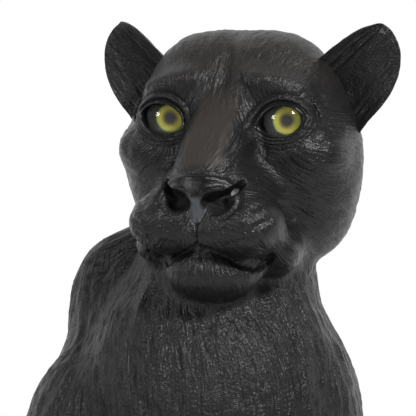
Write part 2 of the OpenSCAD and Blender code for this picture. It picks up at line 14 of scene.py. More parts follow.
import bpy
import numpy as np
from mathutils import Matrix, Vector


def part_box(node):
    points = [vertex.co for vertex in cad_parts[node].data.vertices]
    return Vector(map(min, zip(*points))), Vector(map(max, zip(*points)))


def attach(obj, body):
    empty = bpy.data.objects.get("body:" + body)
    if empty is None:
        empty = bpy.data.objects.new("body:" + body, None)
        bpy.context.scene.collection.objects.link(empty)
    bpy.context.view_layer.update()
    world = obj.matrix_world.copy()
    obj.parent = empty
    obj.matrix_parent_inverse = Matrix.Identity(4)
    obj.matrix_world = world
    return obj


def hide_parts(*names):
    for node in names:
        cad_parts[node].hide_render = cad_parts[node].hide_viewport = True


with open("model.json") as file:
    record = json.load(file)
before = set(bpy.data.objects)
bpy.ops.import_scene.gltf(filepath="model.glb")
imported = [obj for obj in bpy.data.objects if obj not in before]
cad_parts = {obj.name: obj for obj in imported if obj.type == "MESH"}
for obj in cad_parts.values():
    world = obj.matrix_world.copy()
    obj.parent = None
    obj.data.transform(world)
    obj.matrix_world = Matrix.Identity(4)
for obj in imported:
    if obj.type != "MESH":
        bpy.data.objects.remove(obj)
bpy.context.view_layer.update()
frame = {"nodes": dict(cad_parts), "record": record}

log = logging.getLogger("panther lamp")
Array = np.ndarray
Vec = tuple[float, float, float]
MM = 0.001


class Side(Enum):
    """Which side of the figure a paired piece is on."""

    LEFT = 1
    RIGHT = -1


# ---------------------------------------------------------------- sums on whole arrays
def rotation(turn: Vec) -> Array:
    """Turns about X, then Y, then Z, in degrees, as one matrix."""
    (a, b, c) = np.radians(turn)
    about_x = [[1, 0, 0], [0, math.cos(a), -math.sin(a)], [0, math.sin(a), math.cos(a)]]
    about_y = [[math.cos(b), 0, math.sin(b)], [0, 1, 0], [-math.sin(b), 0, math.cos(b)]]
    about_z = [[math.cos(c), -math.sin(c), 0], [math.sin(c), math.cos(c), 0], [0, 0, 1]]
    return (np.array(about_z) @ about_y @ about_x).astype(np.float32)


def eased(low: float, high: float, value: Array) -> Array:
    """0 below low, 1 above high, and 3t^2 - 2t^3 between them."""
    t = np.clip((value - low) / (high - low), 0, 1)
    return t * t * (3 - 2 * t)


def bell(distance: Array, width: float) -> Array:
    """1 at distance 0, falling off as exp(-(distance / width)^2)."""
    return np.exp(-np.square(distance / width))


def unit(vectors: Array) -> Array:
    """Vectors over their own lengths."""
    return vectors / (np.linalg.norm(vectors, axis=-1, keepdims=True) + 1e-9)


def soft_min(a: Array, b: Array, soft: float) -> Array:
    """The lesser of a and b, less h^2 / 4soft where h is how far they are within soft."""
    near = np.maximum(soft - np.abs(a - b), 0)
    return np.minimum(a, b) - near * near / (4 * soft)


def line_distance(x: Array, z: Array, line: Sequence[tuple[float, float]]) -> tuple[Array, Array]:
    """How far points lie from a bent line.

    Args:
        x: Across.
        z: Up.
        line: The corners of the line.

    Returns:
        The distance to the nearest stretch, and the share of the line gone by there.
    """
    corners = np.array(line, np.float32)
    best = np.full(x.shape, 1e9, np.float32)
    along = np.zeros_like(best)
    for k, (start, end) in enumerate(zip(corners[:-1], corners[1:])):
        run = end - start
        t = np.clip(((x - start[0]) * run[0] + (z - start[1]) * run[1]) / (run @ run), 0, 1)
        d = np.hypot(x - start[0] - t * run[0], z - start[1] - t * run[1])
        along = np.where(d < best, (k + t) / (len(corners) - 1), along)
        best = np.minimum(best, d)
    return best, along


class Grain:
    """Seeded value noise on a wrapped lattice, plain or drawn out into strands."""

    CELLS = 48

    def __init__(self, seed: int) -> None:
        """Fills the lattice with even random numbers from -1 to 1."""
        shape = (self.CELLS,) * 3
        self.lattice = np.random.default_rng(seed).uniform(-1, 1, shape).astype(np.float32)

    def at(self, points: Array, size: float) -> Array:
        """Noise at points: the eight lattice values round each, mixed by eased distances.

        Args:
            points: Places, one row each.
            size: The width of a lattice cell.

        Returns:
            A number from -1 to 1 for each row.
        """
        scaled = points / size
        low = np.floor(scaled).astype(np.int64)
        t = scaled - low
        t = t * t * (3 - 2 * t)
        low %= self.CELLS
        high = (low + 1) % self.CELLS
        total = np.zeros(len(points), np.float32)
        for corner in range(8):
            pick = [(corner >> axis) & 1 for axis in range(3)]
            cell = [(high if up else low)[:, axis] for axis, up in enumerate(pick)]
            share = np.prod([t[:, axis] if up else 1 - t[:, axis] for axis, up in enumerate(pick)], 0)
            total += self.lattice[cell[0], cell[1], cell[2]] * share
        return total

    def combed(self, points: Array, comb: Array, size: float, length: float, taps: int = 7) -> Array:
        """Strands: the mean of the noise at even steps to and fro along the comb, stretched."""
        steps = np.linspace(-0.5, 0.5, taps) * length
        mean = sum(self.at(points + comb * step, size) for step in steps) / taps
        return np.clip(mean * math.sqrt(taps) * 0.9, -1, 1)


# ---------------------------------------------------------------- meshes
def grid_faces(rows: int, columns: int, wrap: bool = True) -> Array:
    """Quads of a grid of points, facing out where columns run anticlockwise and rows upward."""
    across = columns if wrap else columns - 1
    j, i = np.meshgrid(np.arange(rows - 1), np.arange(across), indexing="ij")
    a = j * columns + i
    b = j * columns + (i + 1) % columns
    return np.stack([a, b, b + columns, a + columns], -1).reshape(-1, 4)


def grid_normals(points: Array, wrap: bool = True) -> Array:
    """Unit normals of a grid: the cross product of its steps along columns and along rows."""
    if wrap:
        across = np.roll(points, -1, 1) - np.roll(points, 1, 1)
    else:
        across = np.gradient(points, axis=1)
    return unit(np.cross(across, np.gradient(points, axis=0)))


class Piece:
    """One finished surface of the lamp."""

    def __init__(self, name: str, points: Array, quads: Array, caps: Iterable[Array] = ()) -> None:
        """Makes the mesh from points in millimetres.

        Args:
            name: The piece's name.
            points: Its points, one row each.
            quads: Four point numbers for each face.
            caps: Closing faces of many corners, each a row of point numbers.
        """
        caps = list(caps)
        mesh = bpy.data.meshes.new(name)
        mesh.vertices.add(len(points))
        mesh.vertices.foreach_set("co", (points * MM).astype(np.float32).ravel())
        loops = np.concatenate([quads.ravel(), *caps]).astype(np.int32)
        totals = np.array([quads.shape[1]] * len(quads) + [len(c) for c in caps], np.int32)
        mesh.loops.add(len(loops))
        mesh.loops.foreach_set("vertex_index", loops)
        mesh.polygons.add(len(totals))
        mesh.polygons.foreach_set("loop_start", np.concatenate([[0], np.cumsum(totals)[:-1]]))
        mesh.polygons.foreach_set("loop_total", totals)
        mesh.polygons.foreach_set("use_smooth", np.ones(len(totals), bool))
        mesh.update(calc_edges=True)
        mesh.validate()
        self.mesh = mesh
        self.object = bpy.data.objects.new(name, mesh)
        bpy.context.scene.collection.objects.link(self.object)

    @classmethod
    def from_grid(cls, name: str, points: Array, wrap: bool = True,
                  low: bool = False, high: bool = False, keep: Optional[Array] = None) -> "Piece":
        """A piece from a grid of points, with its ends closed or some faces left out.

        Args:
            name: The piece's name.
            points: Rows by columns by three.
            wrap: Whether the last column joins the first.
            low: Whether to close the first row.
            high: Whether to close the last row.
            keep: Which of the quads are kept, or None for all.

        Returns:
            The piece.
        """
        rows, columns = points.shape[:2]
        quads = grid_faces(rows, columns, wrap)
        if keep is not None:
            quads = quads[keep]
        caps = [np.arange(columns)[::-1]] if low else []
        caps += [np.arange(columns) + columns * (rows - 1)] if high else []
        flat = points.reshape(-1, 3)
        if keep is not None and not caps:
            used, inverse = np.unique(quads, return_inverse=True)
            piece = cls(name, flat[used], inverse.reshape(quads.shape), [])
            piece.used = used
            return piece
        piece = cls(name, flat, quads, caps)
        piece.used = np.arange(len(flat))
        return piece

    def paint(self, name: str, values: Array) -> None:
        """Keeps three numbers for each point under a name that a finish reads."""
        attribute = self.mesh.attributes.new(name, "FLOAT_VECTOR", "POINT")
        attribute.data.foreach_set("vector", values[self.used].astype(np.float32).ravel())

    def shade(self, normals: Array) -> None:
        """Gives each point the normal of the whole surface that it is cut from."""
        self.mesh.normals_split_custom_set_from_vertices(normals[self.used].tolist())

    def dress(self, material: bpy.types.Material, slot: str, body: str = "lamp",
              *nodes: str) -> "Piece":
        """Puts on the finish, and says what the piece rides on and stands for."""
        self.mesh.materials.append(material)
        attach(self.object, body)
        if nodes:
            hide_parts(*nodes)
        log.info("%s: %d faces on %s", self.object.name, len(self.mesh.polygons), body)
        return self


def turned(name: str, outline: Sequence[tuple[float, float]], at: Vec, columns: int = 96,
           axis: Vec = (0.0, 0.0, 1.0), wobble: Optional[Callable[[Array, Array], Array]] = None) -> Piece:
    """A closed ring or solid turned on a lathe: each outline point goes round a circle.

    Args:
        name: The piece's name.
        outline: Radius and height, anticlockwise with the axis on the left and up ahead.
        at: Where the axis stands, and the height that the outline counts from.
        columns: Points round the circle.
        axis: The way that the axis points.
        wobble: Extra radius from the angle and the height, such as a thread.

    Returns:
        The piece.
    """
    shape = np.array(outline, np.float32)
    closed = not (shape[0, 0] < 1e-6 and shape[-1, 0] < 1e-6)
    if closed:
        shape = np.concatenate([shape, shape[:1]])
    else:
        shape = shape[1:-1]
    angle = np.arange(columns) * 2 * np.pi / columns
    radius, height = (np.repeat(shape[:, k: k + 1], columns, 1) for k in range(2))
    if wobble is not None:
        radius = radius + wobble(angle[None], height)
    ahead = unit(np.array(axis, float))
    aside = unit(np.cross((0.0, 0.0, 1.0), ahead)) if abs(ahead[2]) < 0.9 else np.array([1.0, 0.0, 0.0])
    other = np.cross(ahead, aside)
    x, y, z = radius * np.cos(angle), radius * np.sin(angle), height
    points = x[..., None] * aside + y[..., None] * other + z[..., None] * ahead + np.array(at)
    if not closed:
        return Piece.from_grid(name, points, low=True, high=True)
    rows = len(shape) - 1
    quads = grid_faces(rows + 1, columns) % (rows * columns)
    piece = Piece(name, points[:-1].reshape(-1, 3), quads)
    piece.used = np.arange(rows * columns)
    return piece


def arc(centre: tuple[float, float], radius: float, start: float, end: float,
        count: int = 8) -> list[tuple[float, float]]:
    """Points of an arc, by angles in degrees."""
    angles = np.radians(np.linspace(start, end, count))
    return [(centre[0] + radius * math.cos(a), centre[1] + radius * math.sin(a)) for a in angles]


def tube(name: str, path: Array, radius: float, columns: int = 10) -> Piece:
    """A round wire: a circle carried along a path, square to it all the way.

    Args:
        name: The piece's name.
        path: Points along the middle of the wire.
        radius: The wire's radius.
        columns: Points round the wire.

    Returns:
        The piece, closed at both ends.
    """
    along = unit(np.gradient(path, axis=0))
    aside = unit(np.cross(along, np.roll(along, 1, 1) + np.array([0.3, 0.1, 0.2])))
    other = np.cross(along, aside)
    angle = np.arange(columns) * 2 * np.pi / columns
    ring = aside[:, None] * np.cos(angle)[None, :, None] + other[:, None] * np.sin(angle)[None, :, None]
    return Piece.from_grid(name, path[:, None] + radius * ring, low=True, high=True)


# ---------------------------------------------------------------- finishes
class Wire:
    """A shader socket on which Python's operators add Math nodes."""

    def __init__(self, shader: "Shader", socket: bpy.types.NodeSocket) -> None:
        """Wraps an output socket of a shader's tree."""
        self.shader, self.socket = shader, socket

    def _math(self, operation: str, first: Any, second: Any = None) -> "Wire":
        """One Math node on two values or wires."""
        values = [first] if second is None else [first, second]
        return self.shader.node("ShaderNodeMath", {"operation": operation}, dict(enumerate(values)))

    def __add__(self, other: Any) -> "Wire":
        """Sum."""
        return self._math("ADD", self, other)

    def __sub__(self, other: Any) -> "Wire":
        """Difference."""
        return self._math("SUBTRACT", self, other)

    def __rsub__(self, other: Any) -> "Wire":
        """Difference, the other way round."""
        return self._math("SUBTRACT", other, self)

    def __mul__(self, other: Any) -> "Wire":
        """Product."""
        return self._math("MULTIPLY", self, other)

    def __truediv__(self, other: Any) -> "Wire":
        """Quotient."""
        return self._math("DIVIDE", self, other)

    def __pow__(self, other: Any) -> "Wire":
        """Power."""
        return self._math("POWER", self, other)

    __radd__ = __add__
    __rmul__ = __mul__

    def bounded(self) -> "Wire":
        """The value kept between 0 and 1."""
        return self.shader.node("ShaderNodeClamp", {}, {0: self})

    def sine(self) -> "Wire":
        """The sine of the value."""
        return self._math("SINE", self)

    def eased(self, low: float, high: float) -> "Wire":
        """0 below low and 1 above high, smooth between."""
        return self.shader.node("ShaderNodeMapRange", {"interpolation_type": "SMOOTHSTEP"},
                                {0: self, 1: low, 2: high})


class Shader:
    """One material's node tree and the few ways that the finishes add to it."""

    def __init__(self, name: str) -> None:
        """Starts a material with a Principled shader and object coordinates."""
        self.material = bpy.data.materials.new(f"{name}_finish")
        self.material["slot"] = name
        self.material.use_nodes = True
        self.tree = self.material.node_tree
        self.bsdf = self.tree.nodes["Principled BSDF"]
        self.place = self.node("ShaderNodeTexCoord", {}, {}, "Object")

    @classmethod
    def of_world(cls, world: bpy.types.World) -> "Shader":
        """The same few ways for a world's tree, where place is the way that a ray goes."""
        shader = cls.__new__(cls)
        shader.tree = world.node_tree
        shader.place = shader.node("ShaderNodeTexCoord", {}, {}, "Generated")
        return shader

    def node(self, kind: str, settings: dict[str, Any], inputs: dict[Any, Any],
             output: Any = 0) -> Wire:
        """Adds a node.

        Args:
            kind: The node's type.
            settings: Its properties, or the stops of a ramp.
            inputs: Values or wires by socket name or number.
            output: The socket that is wanted of it.

        Returns:
            That socket.
        """
        node = self.tree.nodes.new(kind)
        for key, value in settings.items():
            if key == "stops":
                while len(node.color_ramp.elements) < len(value):
                    node.color_ramp.elements.new(0.5)
                for element, (position, colour) in zip(node.color_ramp.elements, value):
                    element.position, element.color = position, (*colour, 1)
            else:
                setattr(node, key, value)
        for key, value in inputs.items():
            self.feed(node.inputs[key], value)
        return Wire(self, node.outputs[output])

    def feed(self, socket: bpy.types.NodeSocket, value: Any) -> None:
        """Links a wire to a socket, or sets its value."""
        if isinstance(value, Wire):
            self.tree.links.new(value.socket, socket)
        elif isinstance(value, tuple) and len(socket.default_value) == 4:
            socket.default_value = (*value, 1)
        else:
            socket.default_value = value

    def vector(self, operation: str, first: Any, second: Any = None, output: Any = 0) -> Wire:
        """One Vector Math node."""
        values = {0: first} if second is None else {0: first, 1: second}
        return self.node("ShaderNodeVectorMath", {"operation": operation}, values, output)

    def scaled(self, vector: Wire, factor: Any) -> Wire:
        """A vector times one number."""
        return self.node("ShaderNodeVectorMath", {"operation": "SCALE"}, {0: vector, "Scale": factor})

    def noise(self, scale: float, detail: float = 2, at: Optional[Wire] = None) -> Wire:
        """Noise from 0 to 1, with scale in cells to the metre."""
        inputs = {"Vector": at or self.place, "Scale": scale, "Detail": detail, "Roughness": 0.55}
        return self.node("ShaderNodeTexNoise", {}, inputs)

    def colour(self, factor: Any, first: Any, second: Any) -> Wire:
        """Two colours mixed."""
        return self.node("ShaderNodeMix", {"data_type": "RGBA"}, {0: factor, 6: first, 7: second}, 2)

    def parts(self, name: str) -> list[Wire]:
        """The three numbers that a piece keeps under a name."""
        kept = self.node("ShaderNodeAttribute", {"attribute_name": name}, {}, "Vector")
        node = self.tree.nodes.new("ShaderNodeSeparateXYZ")
        self.feed(node.inputs[0], kept)
        return [Wire(self, socket) for socket in node.outputs]

    def bump(self, height: Wire, strength: float, depth: float) -> Wire:
        """A normal from a height, whose full step is depth in metres."""
        return self.node("ShaderNodeBump", {}, {"Height": height, "Strength": strength, "Distance": depth})

    def finished(self, **sockets: Any) -> bpy.types.Material:
        """Fills the Principled shader's sockets and gives the material."""
        for key, value in sockets.items():
            self.feed(self.bsdf.inputs[key.replace("_", " ")], value)
        return self.material


@dataclass(frozen=True)
class CastFur:
    """Black cast skin with combed hair, bare leather on the nose with a painted blue-grey reflection on its
    plate, and a dull brown bridge.
    """

    base: Vec = (0.0050, 0.0050, 0.0056)
    dust: Vec = (0.026, 0.026, 0.027)
    brown: Vec = (0.034, 0.027, 0.022)
    # Lighter blue-grey for the plate between the nostrils: a painted reflection.
    plate_sheen: Vec = (0.070, 0.076, 0.084)
    hair_scale: float = 800.0
    lock_scale: float = 330.0
    reach: float = 0.0012
    taps: int = 5

    def strands(self, shader: Shader, comb: Wire, scale: float, reach: float) -> Wire:
        """Noise drawn out along the comb: the mean of even steps to and fro, made stronger."""
        total = None
        for k in range(self.taps):
            shift = shader.scaled(comb, (k - (self.taps - 1) / 2) * reach)
            tap = shader.noise(scale, 1, shader.vector("ADD", shader.place, shift))
            total = tap if total is None else total + tap
        return ((total / self.taps - 0.5) * 2.4 + 0.5).bounded()

    def material(self) -> bpy.types.Material:
        """Hair from combed noise; the paint map holds fur, leather (above 1 where the nose plate's
        reflection is painted) and brown, the other the pits' painted shade, the locks and the shine.
        """
        shader = Shader("black_cast")
        comb = shader.node("ShaderNodeAttribute", {"attribute_name": "comb"}, {}, "Vector")
        fur, leather, brown = shader.parts("paint")
        pit_shade, locks, shine = shader.parts("hollow")
        hair = self.strands(shader, comb, self.hair_scale, self.reach)
        lock = self.strands(shader, comb, self.lock_scale, self.reach * 2.4)
        pores = shader.noise(1500, 1)
        height = (hair * (0.75 + locks * 0.2) + lock * (0.35 + locks * 0.9)) * fur + pores * 0.25 * leather
        tone = shader.colour((hair * fur * 0.35 + 0.1).bounded(), self.base, self.dust)
        tone = shader.colour(brown * 0.8, tone, self.brown)
        # Leather above 1 marks the plate between the nostrils, which is painted lighter blue-grey as a
        # reflection.
        tone = shader.colour((leather - 1).bounded(), tone, self.plate_sheen)
        # Painted shade: the nostrils and the mouth's line are darkened to near black.
        tone = shader.colour(pit_shade, tone, (0.001, 0.001, 0.001))
        rough = 0.22 + brown * 0.26 + shader.noise(60, 2) * 0.10 + (1 - hair) * 0.10 * fur
        rough = rough - shine * 0.08 + pit_shade * 0.5
        return shader.finished(Base_Color=tone, Roughness=rough.bounded(), Specular_IOR_Level=0.4,
                               Normal=shader.bump(height, 1.0, 0.0010))


@dataclass(frozen=True)
class Metal:
    """A worn, plated or drawn metal."""

    name: str
    tone: Vec
    tarnish: Vec
    roughness: float = 0.28

    def material(self) -> bpy.types.Material:
        """Metal whose tone and gloss vary with a blotchy noise and a fine grain."""
        shader = Shader(self.name)
        blotch = shader.noise(45, 3).eased(0.42, 0.72)
        grain = shader.noise(900, 2)
        return shader.finished(Base_Color=shader.colour(blotch, self.tone, self.tarnish), Metallic=1.0,
                               Roughness=(self.roughness + blotch * 0.16 + grain * 0.08).bounded(),
                               Normal=shader.bump(grain, 0.25, 0.0001))


@dataclass(frozen=True)
class Moulded:
    """A moulded or painted solid colour with faint wear."""

    name: str
    tone: Vec
    worn: Vec
    roughness: float = 0.35
    grain: float = 500.0
    depth: float = 0.0001

    def material(self) -> bpy.types.Material:
        """Colour between two near tones by noise, with a light grain."""
        shader = Shader(self.name)
        patch = shader.noise(70, 3)
        grain = shader.noise(self.grain, 2)
        return shader.finished(Base_Color=shader.colour(patch.eased(0.45, 0.75), self.tone, self.worn),
                               Roughness=(self.roughness + patch * 0.14 - 0.05).bounded(),
                               Normal=shader.bump(grain, 0.4, self.depth))


@dataclass(frozen=True)
class Lacquer:
    """Black-brown lacquer over a board with its grain just showing."""

    deep: Vec = (0.010, 0.007, 0.006)
    light: Vec = (0.034, 0.021, 0.014)

    def material(self) -> bpy.types.Material:
        """Long grain along X from stretched noise, under a clear coat."""
        shader = Shader("lacquered_wood")
        along = shader.node("ShaderNodeMapping", {}, {"Vector": shader.place, "Scale": (0.12, 1.0, 1.0)})
        grain = shader.noise(260, 4, along)
        rings = ((shader.noise(18, 2, along) * 60).sine() * 0.5 + 0.5) * 0.5 + grain * 0.5
        return shader.finished(Base_Color=shader.colour(rings, self.deep, self.light),
                               Roughness=(0.36 + grain * 0.12).bounded(), Coat_Weight=0.6,
                               Coat_Roughness=0.12, Normal=shader.bump(grain, 0.3, 0.0002))


@dataclass(frozen=True)
class Felt:
    """Green baize."""

    deep: Vec = (0.014, 0.045, 0.026)
    light: Vec = (0.030, 0.085, 0.050)

    def material(self) -> bpy.types.Material:
        """Matted fibres from two noises, one finer than the other."""
        shader = Shader("felt")
        fibre = shader.noise(1400, 3) * 0.6 + shader.noise(300, 2) * 0.4
        return shader.finished(Base_Color=shader.colour(fibre.eased(0.35, 0.65), self.deep, self.light),
                               Roughness=0.95, Sheen_Weight=0.4, Normal=shader.bump(fibre, 0.8, 0.0006))


@dataclass(frozen=True)
class ClearGlass:
    """Polished clear glass."""

    name: str
    tint: Vec
    ior: float = 1.5

    def material(self) -> bpy.types.Material:
        """Glass with a slight tint and the faintest bloom on its gloss."""
        shader = Shader(self.name)
        bloom = shader.noise(40, 2)
        return shader.finished(Base_Color=self.tint, Transmission_Weight=1.0, IOR=self.ior,
                               Roughness=(bloom * 0.02).bounded())


@dataclass(frozen=True)
class IrisPaint:
    """Painted iris: dark ring, olive-yellow field with fibres, brown halo round the pupil."""

    centre: Vec
    axis: Vec
    radius: float
    pupil: float

    def material(self, name: str) -> bpy.types.Material:
        """Colour by distance from the axis, broken up by fibres that run outward."""
        shader = Shader(name)
        away = shader.vector("SUBTRACT", shader.place, self.centre)
        along = shader.vector("DOT_PRODUCT", away, self.axis, "Value")
        ahead = shader.scaled(shader.node("ShaderNodeCombineXYZ", {}, dict(enumerate(self.axis))), along)
        flat = shader.vector("SUBTRACT", away, ahead)
        out = shader.vector("LENGTH", flat, output="Value") / self.radius
        ray = shader.vector("NORMALIZE", flat)
        fibres = shader.noise(9, 3, shader.vector("ADD", ray, shader.scaled(flat, 40.0)))
        edge = self.pupil / self.radius
        where = (out + (fibres - 0.5) * 0.16).bounded()
        stops = [(0.0, (0.006, 0.004, 0.002)), (edge * 1.08, (0.030, 0.018, 0.004)),
                 (edge * 1.42, (0.22, 0.16, 0.014)), (0.66, (0.50, 0.46, 0.035)),
                 (0.86, (0.46, 0.47, 0.045)), (0.94, (0.20, 0.22, 0.03)), (1.0, (0.02, 0.02, 0.006))]
        tone = shader.node("ShaderNodeValToRGB", {"stops": stops}, {0: where})
        shade = shader.colour((fibres - 0.3).bounded(), tone, (0.16, 0.17, 0.02))
        return shader.finished(Base_Color=shade, Roughness=0.45)


# ---------------------------------------------------------------- the figure's form
@dataclass(frozen=True)
class Form:
    """An ellipsoid that is blended into the figure, or carved out of it."""

    at: Vec
    radii: Vec
    turn: Vec = (0.0, 0.0, 0.0)
    soft: float = 1.0
    carved: bool = False

    def distance(self, points: Array) -> Array:
        """About the distance to the ellipsoid: |p/r| (|p/r| - 1) / |p/r^2|, in its own frame."""
        radii = np.array(self.radii, np.float32)
        scaled = ((points - np.array(self.at, np.float32)) @ rotation(self.turn)) / radii
        size = np.linalg.norm(scaled, axis=1)
        return size * (size - 1) / (np.linalg.norm(scaled / radii, axis=1) + 1e-6)


HEAD_FORMS = (
    Form((0, 12, 6), (61, 70, 60)),  # skull
    Form((22, -14, 28), (36, 40, 34), soft=20),  # forehead
    Form((41, -8, -14), (35, 44, 40), soft=22),  # cheek
    Form((38, 6, -44), (29, 38, 34), soft=20),  # ruff under the cheek
    Form((0, -60, -42), (37, 40, 28), soft=18),  # muzzle
    Form((0, -66, -3), (19, 42, 14), (40, 0, 0), 14),  # bridge of the nose
    Form((0, -86, -37), (17, 17, 12), soft=9),  # nose
    Form((17, -80, -38), (8, 9, 9), soft=7),  # wing of the nose
    Form((23, -77, -56), (25, 27, 20), (0, 0, 22), 9),  # whisker pad
    Form((0, -88, -62), (15, 12, 9), soft=10),  # upper lip
    Form((0, -64, -85), (28, 26, 18), soft=6),  # chin
    Form((29, -32, -71), (17, 38, 16), (0, 0, 25), 14),  # jaw
    Form((51, -38, -10), (20, 18, 11), (0, 0, 20), 14),  # cheekbone
    Form((33, -50, 31), (20, 11, 7), (0, 10, 14), 10),  # brow
    Form((36, -72, 10), (17, 14, 12), (0, 0, 10), 10, True),  # orbit
    Form((38, -43, 9), (20, 19.5, 18.5), soft=7),  # eyelids
)
BODY_FORMS = (
    Form((24, 28, 145), (56, 54, 95), (0, 8, 0)),  # neck
    Form((12, 6, 46), (84, 76, 100), soft=30),  # chest
    Form((74, 22, 26), (37, 50, 66), soft=22),  # left shoulder
    Form((-72, 22, 14), (38, 52, 64), soft=24),  # right shoulder
    Form((-46, 46, 100), (36, 38, 54), soft=24),  # withers
)
HOLLOW_FORMS = 5


class Figure:
    """The panther as a field: negative inside, about the distance in millimetres outside."""

    HEAD_AT = np.array([35.5, 4.0, 217.0], np.float32)
    TURN = (0.0, 2.0, -18.0)
    NECK_BLEND = 14.0
    RAY_LOW = np.array([-8.0, 20.0, 130.0], np.float32)
    RAY_HEAD = np.array([0.0, -28.0, -8.0], np.float32)
    TURNOVER = (-50.0, 10.0)
    START = 160.0

    def __init__(self) -> None:
        """Settles the head's frame and the height of the deck that the figure stands on."""
        self.turn = rotation(self.TURN)
        self.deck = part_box("panther_shell")[0].z / MM

    def into_head(self, points: Array) -> Array:
        """Figure frame to the head's frame."""
        return (points - self.HEAD_AT) @ self.turn

    def out_of_head(self, points: Array) -> Array:
        """The head's frame to the figure's."""
        return points @ self.turn.T + self.HEAD_AT

    def on_lamp(self, points: Array) -> Array:
        """The figure's frame to the lamp's, which starts below the felt."""
        return points + np.array([0, 0, self.deck], np.float32)

    @staticmethod
    def blended(forms: Sequence[Form], points: Array) -> Array:
        """The forms joined in order by soft least values."""
        total = forms[0].distance(points)
        for form in forms[1:]:
            here = form.distance(points)
            if form.carved:
                total = -soft_min(-total, here, form.soft)
            else:
                total = soft_min(total, here, form.soft)
        return total

    def halves(self, points: Array, hollow: bool = False) -> tuple[Array, Array]:
        """The field of the head and that of the body."""
        head = self.into_head(points)
        head[:, 0] = np.sqrt(np.square(head[:, 0]) + 9) - 1.5
        forms = HEAD_FORMS[:HOLLOW_FORMS] if hollow else HEAD_FORMS
        return self.blended(forms, head), self.blended(BODY_FORMS, points)

    def field(self, points: Array, hollow: bool = False) -> Array:
        """The whole figure, or the plainer one that its hollow follows."""
        return soft_min(*self.halves(points, hollow), self.NECK_BLEND)

    def march(self, start: Array, way: Array, reach: float, depth: float = 0.0,
              hollow: bool = False, steps: int = 24) -> Array:
        """Points where rays from outside meet the skin: each step goes back by the field.

        Args:
            start: Where each ray starts, inside the figure or in front of it.
            way: Unit directions.
            reach: How far along the ray the march begins.
            depth: How far below the skin to stop.
            hollow: Whether to follow the hollow's forms.
            steps: How many steps to take.

        Returns:
            The points.
        """
        t = np.full(len(start), reach, np.float32)
        for _ in range(steps):
            t = t - 0.92 * (self.field(start + way * t[:, None], hollow) + depth)
        return start + way * t[:, None]

    def ray_from(self, elevation: Array) -> Array:
        """Ray starts: a path up the neck and into the head, by elevation in degrees."""
        share = eased(*self.TURNOVER, elevation)[:, None]
        high = self.out_of_head(self.RAY_HEAD[None])
        return (self.RAY_LOW * (1 - share) + high * share).astype(np.float32)

    def skin(self, angles: Array, floor: float, elevations: Array, depth: float = 0.0,
             hollow: bool = False) -> Array:
        """A grid of skin points.

        Args:
            angles: Compass angle of each column, in degrees.
            floor: Height of the lowest ring.
            elevations: For each row, the share from the floor's angle, or degrees from -90 up.
            depth: How far below the skin.
            hollow: Whether to follow the hollow's forms.

        Returns:
            Rows by columns by three, in the figure's frame.
        """
        columns = len(angles)
        around = np.radians(angles).astype(np.float32)
        flat = np.stack([np.cos(around), np.sin(around), 0 * around], 1)
        low = np.repeat(self.RAY_LOW[None], columns, 0)
        low[:, 2] = floor
        ring = self.march(low, flat, self.START, depth, hollow)
        run = np.linalg.norm((ring - self.RAY_LOW)[:, :2], axis=1)
        at_floor = np.degrees(np.arctan2(floor - self.RAY_LOW[2], run))
        share, degrees = elevations
        e = (at_floor[None] * share[:, None] + degrees[:, None] * (1 - share[:, None])).ravel()
        rise = np.radians(e).astype(np.float32)
        way = np.tile(flat, (len(share), 1)) * np.cos(rise)[:, None]
        way[:, 2] = np.sin(rise)
        return self.march(self.ray_from(e), way, self.START, depth, hollow).reshape(len(share), columns, 3)


@dataclass(frozen=True)
class Crease:
    """A groove in the face, or a ridge where depth is below zero, mirrored left to right."""

    line: tuple[tuple[float, float], ...]
    width: float
    depth: float
    taper: float = 0.25

    def sink(self, x: Array, z: Array) -> Array:
        """Depth at points: a bell across the line, tapered over a share of each end."""
        distance, along = line_distance(x, z, self.line)
        ends = eased(0, self.taper, along) * eased(0, self.taper, 1 - along) if self.taper else 1.0
        return self.depth * bell(distance, self.width) * ends


MOUTH = ((0, -69.5), (7, -73), (17.5, -76.8), (23.8, -81), (29, -82.5), (34, -79.5), (40, -75))
CREASES = (
    Crease(((0, -52), (0, -60), (0, -70)), 1.1, 2.0, 0.1),  # philtrum
    Crease(((9.5, -41), (4.5, -49), (1.6, -56)), 1.1, 1.2),  # edge of the plate between the nostrils
    Crease(((0, -24.8), (10, -25.2), (18, -27), (23.5, -31), (25.5, -37)), 1.3, 1.0, 0),  # over the nose
    Crease(((0, -28), (10, -28.2), (17, -29.8), (21, -33)), 1.6, -0.9, 0),  # top edge of the nose
    Crease(((2.6, -43), (4.4, -38.4), (8, -35.4), (14, -34.0), (19.5, -34.4)), 1.0, -1.7),  # nostril's rim
    Crease(((26.5, -36), (25.5, -44), (20, -50), (12, -53)), 1.8, 1.4),  # behind the wing
    Crease(((51, -44), (51.5, -54), (46, -67), (36, -76), (29, -81)), 3.4, 1.3),  # round the pad
    Crease(((27, -60), (36, -57.5), (44, -52), (47, -46)), 1.7, 1.3),  # folds of the pad
    Crease(((24, -66), (33, -65), (41, -60)), 1.5, 1.1),
    Crease(((31, -47), (37, -45), (42, -40)), 1.6, 0.9),
    Crease(((10, -62), (17, -60), (23, -55)), 1.5, 0.5),
    Crease(((8, -67), (18, -68), (27, -66)), 1.4, 0.5),
    Crease(((0, -76.5), (5, -77.2), (9, -79)), 1.3, -0.7),  # lower lip
    Crease(((22, 3), (17, -6), (15, -16)), 2.2, 1.2),  # from the tear duct down the muzzle
    Crease(((12, 16), (9, 0), (10, -18)), 2.6, -0.8),  # edge of the bridge
    Crease(((0, 58), (0, 40), (0, 26)), 4.0, 1.2),  # middle of the forehead
    Crease(((8, 38), (14, 30), (16, 22)), 2.2, 0.8),
    Crease(((20, 27), (33, 33), (47, 30), (56, 22)), 2.4, 0.9),  # over the eyelid
    Crease(((57, 2), (63, -6), (64, -18)), 3.0, 0.8),
)


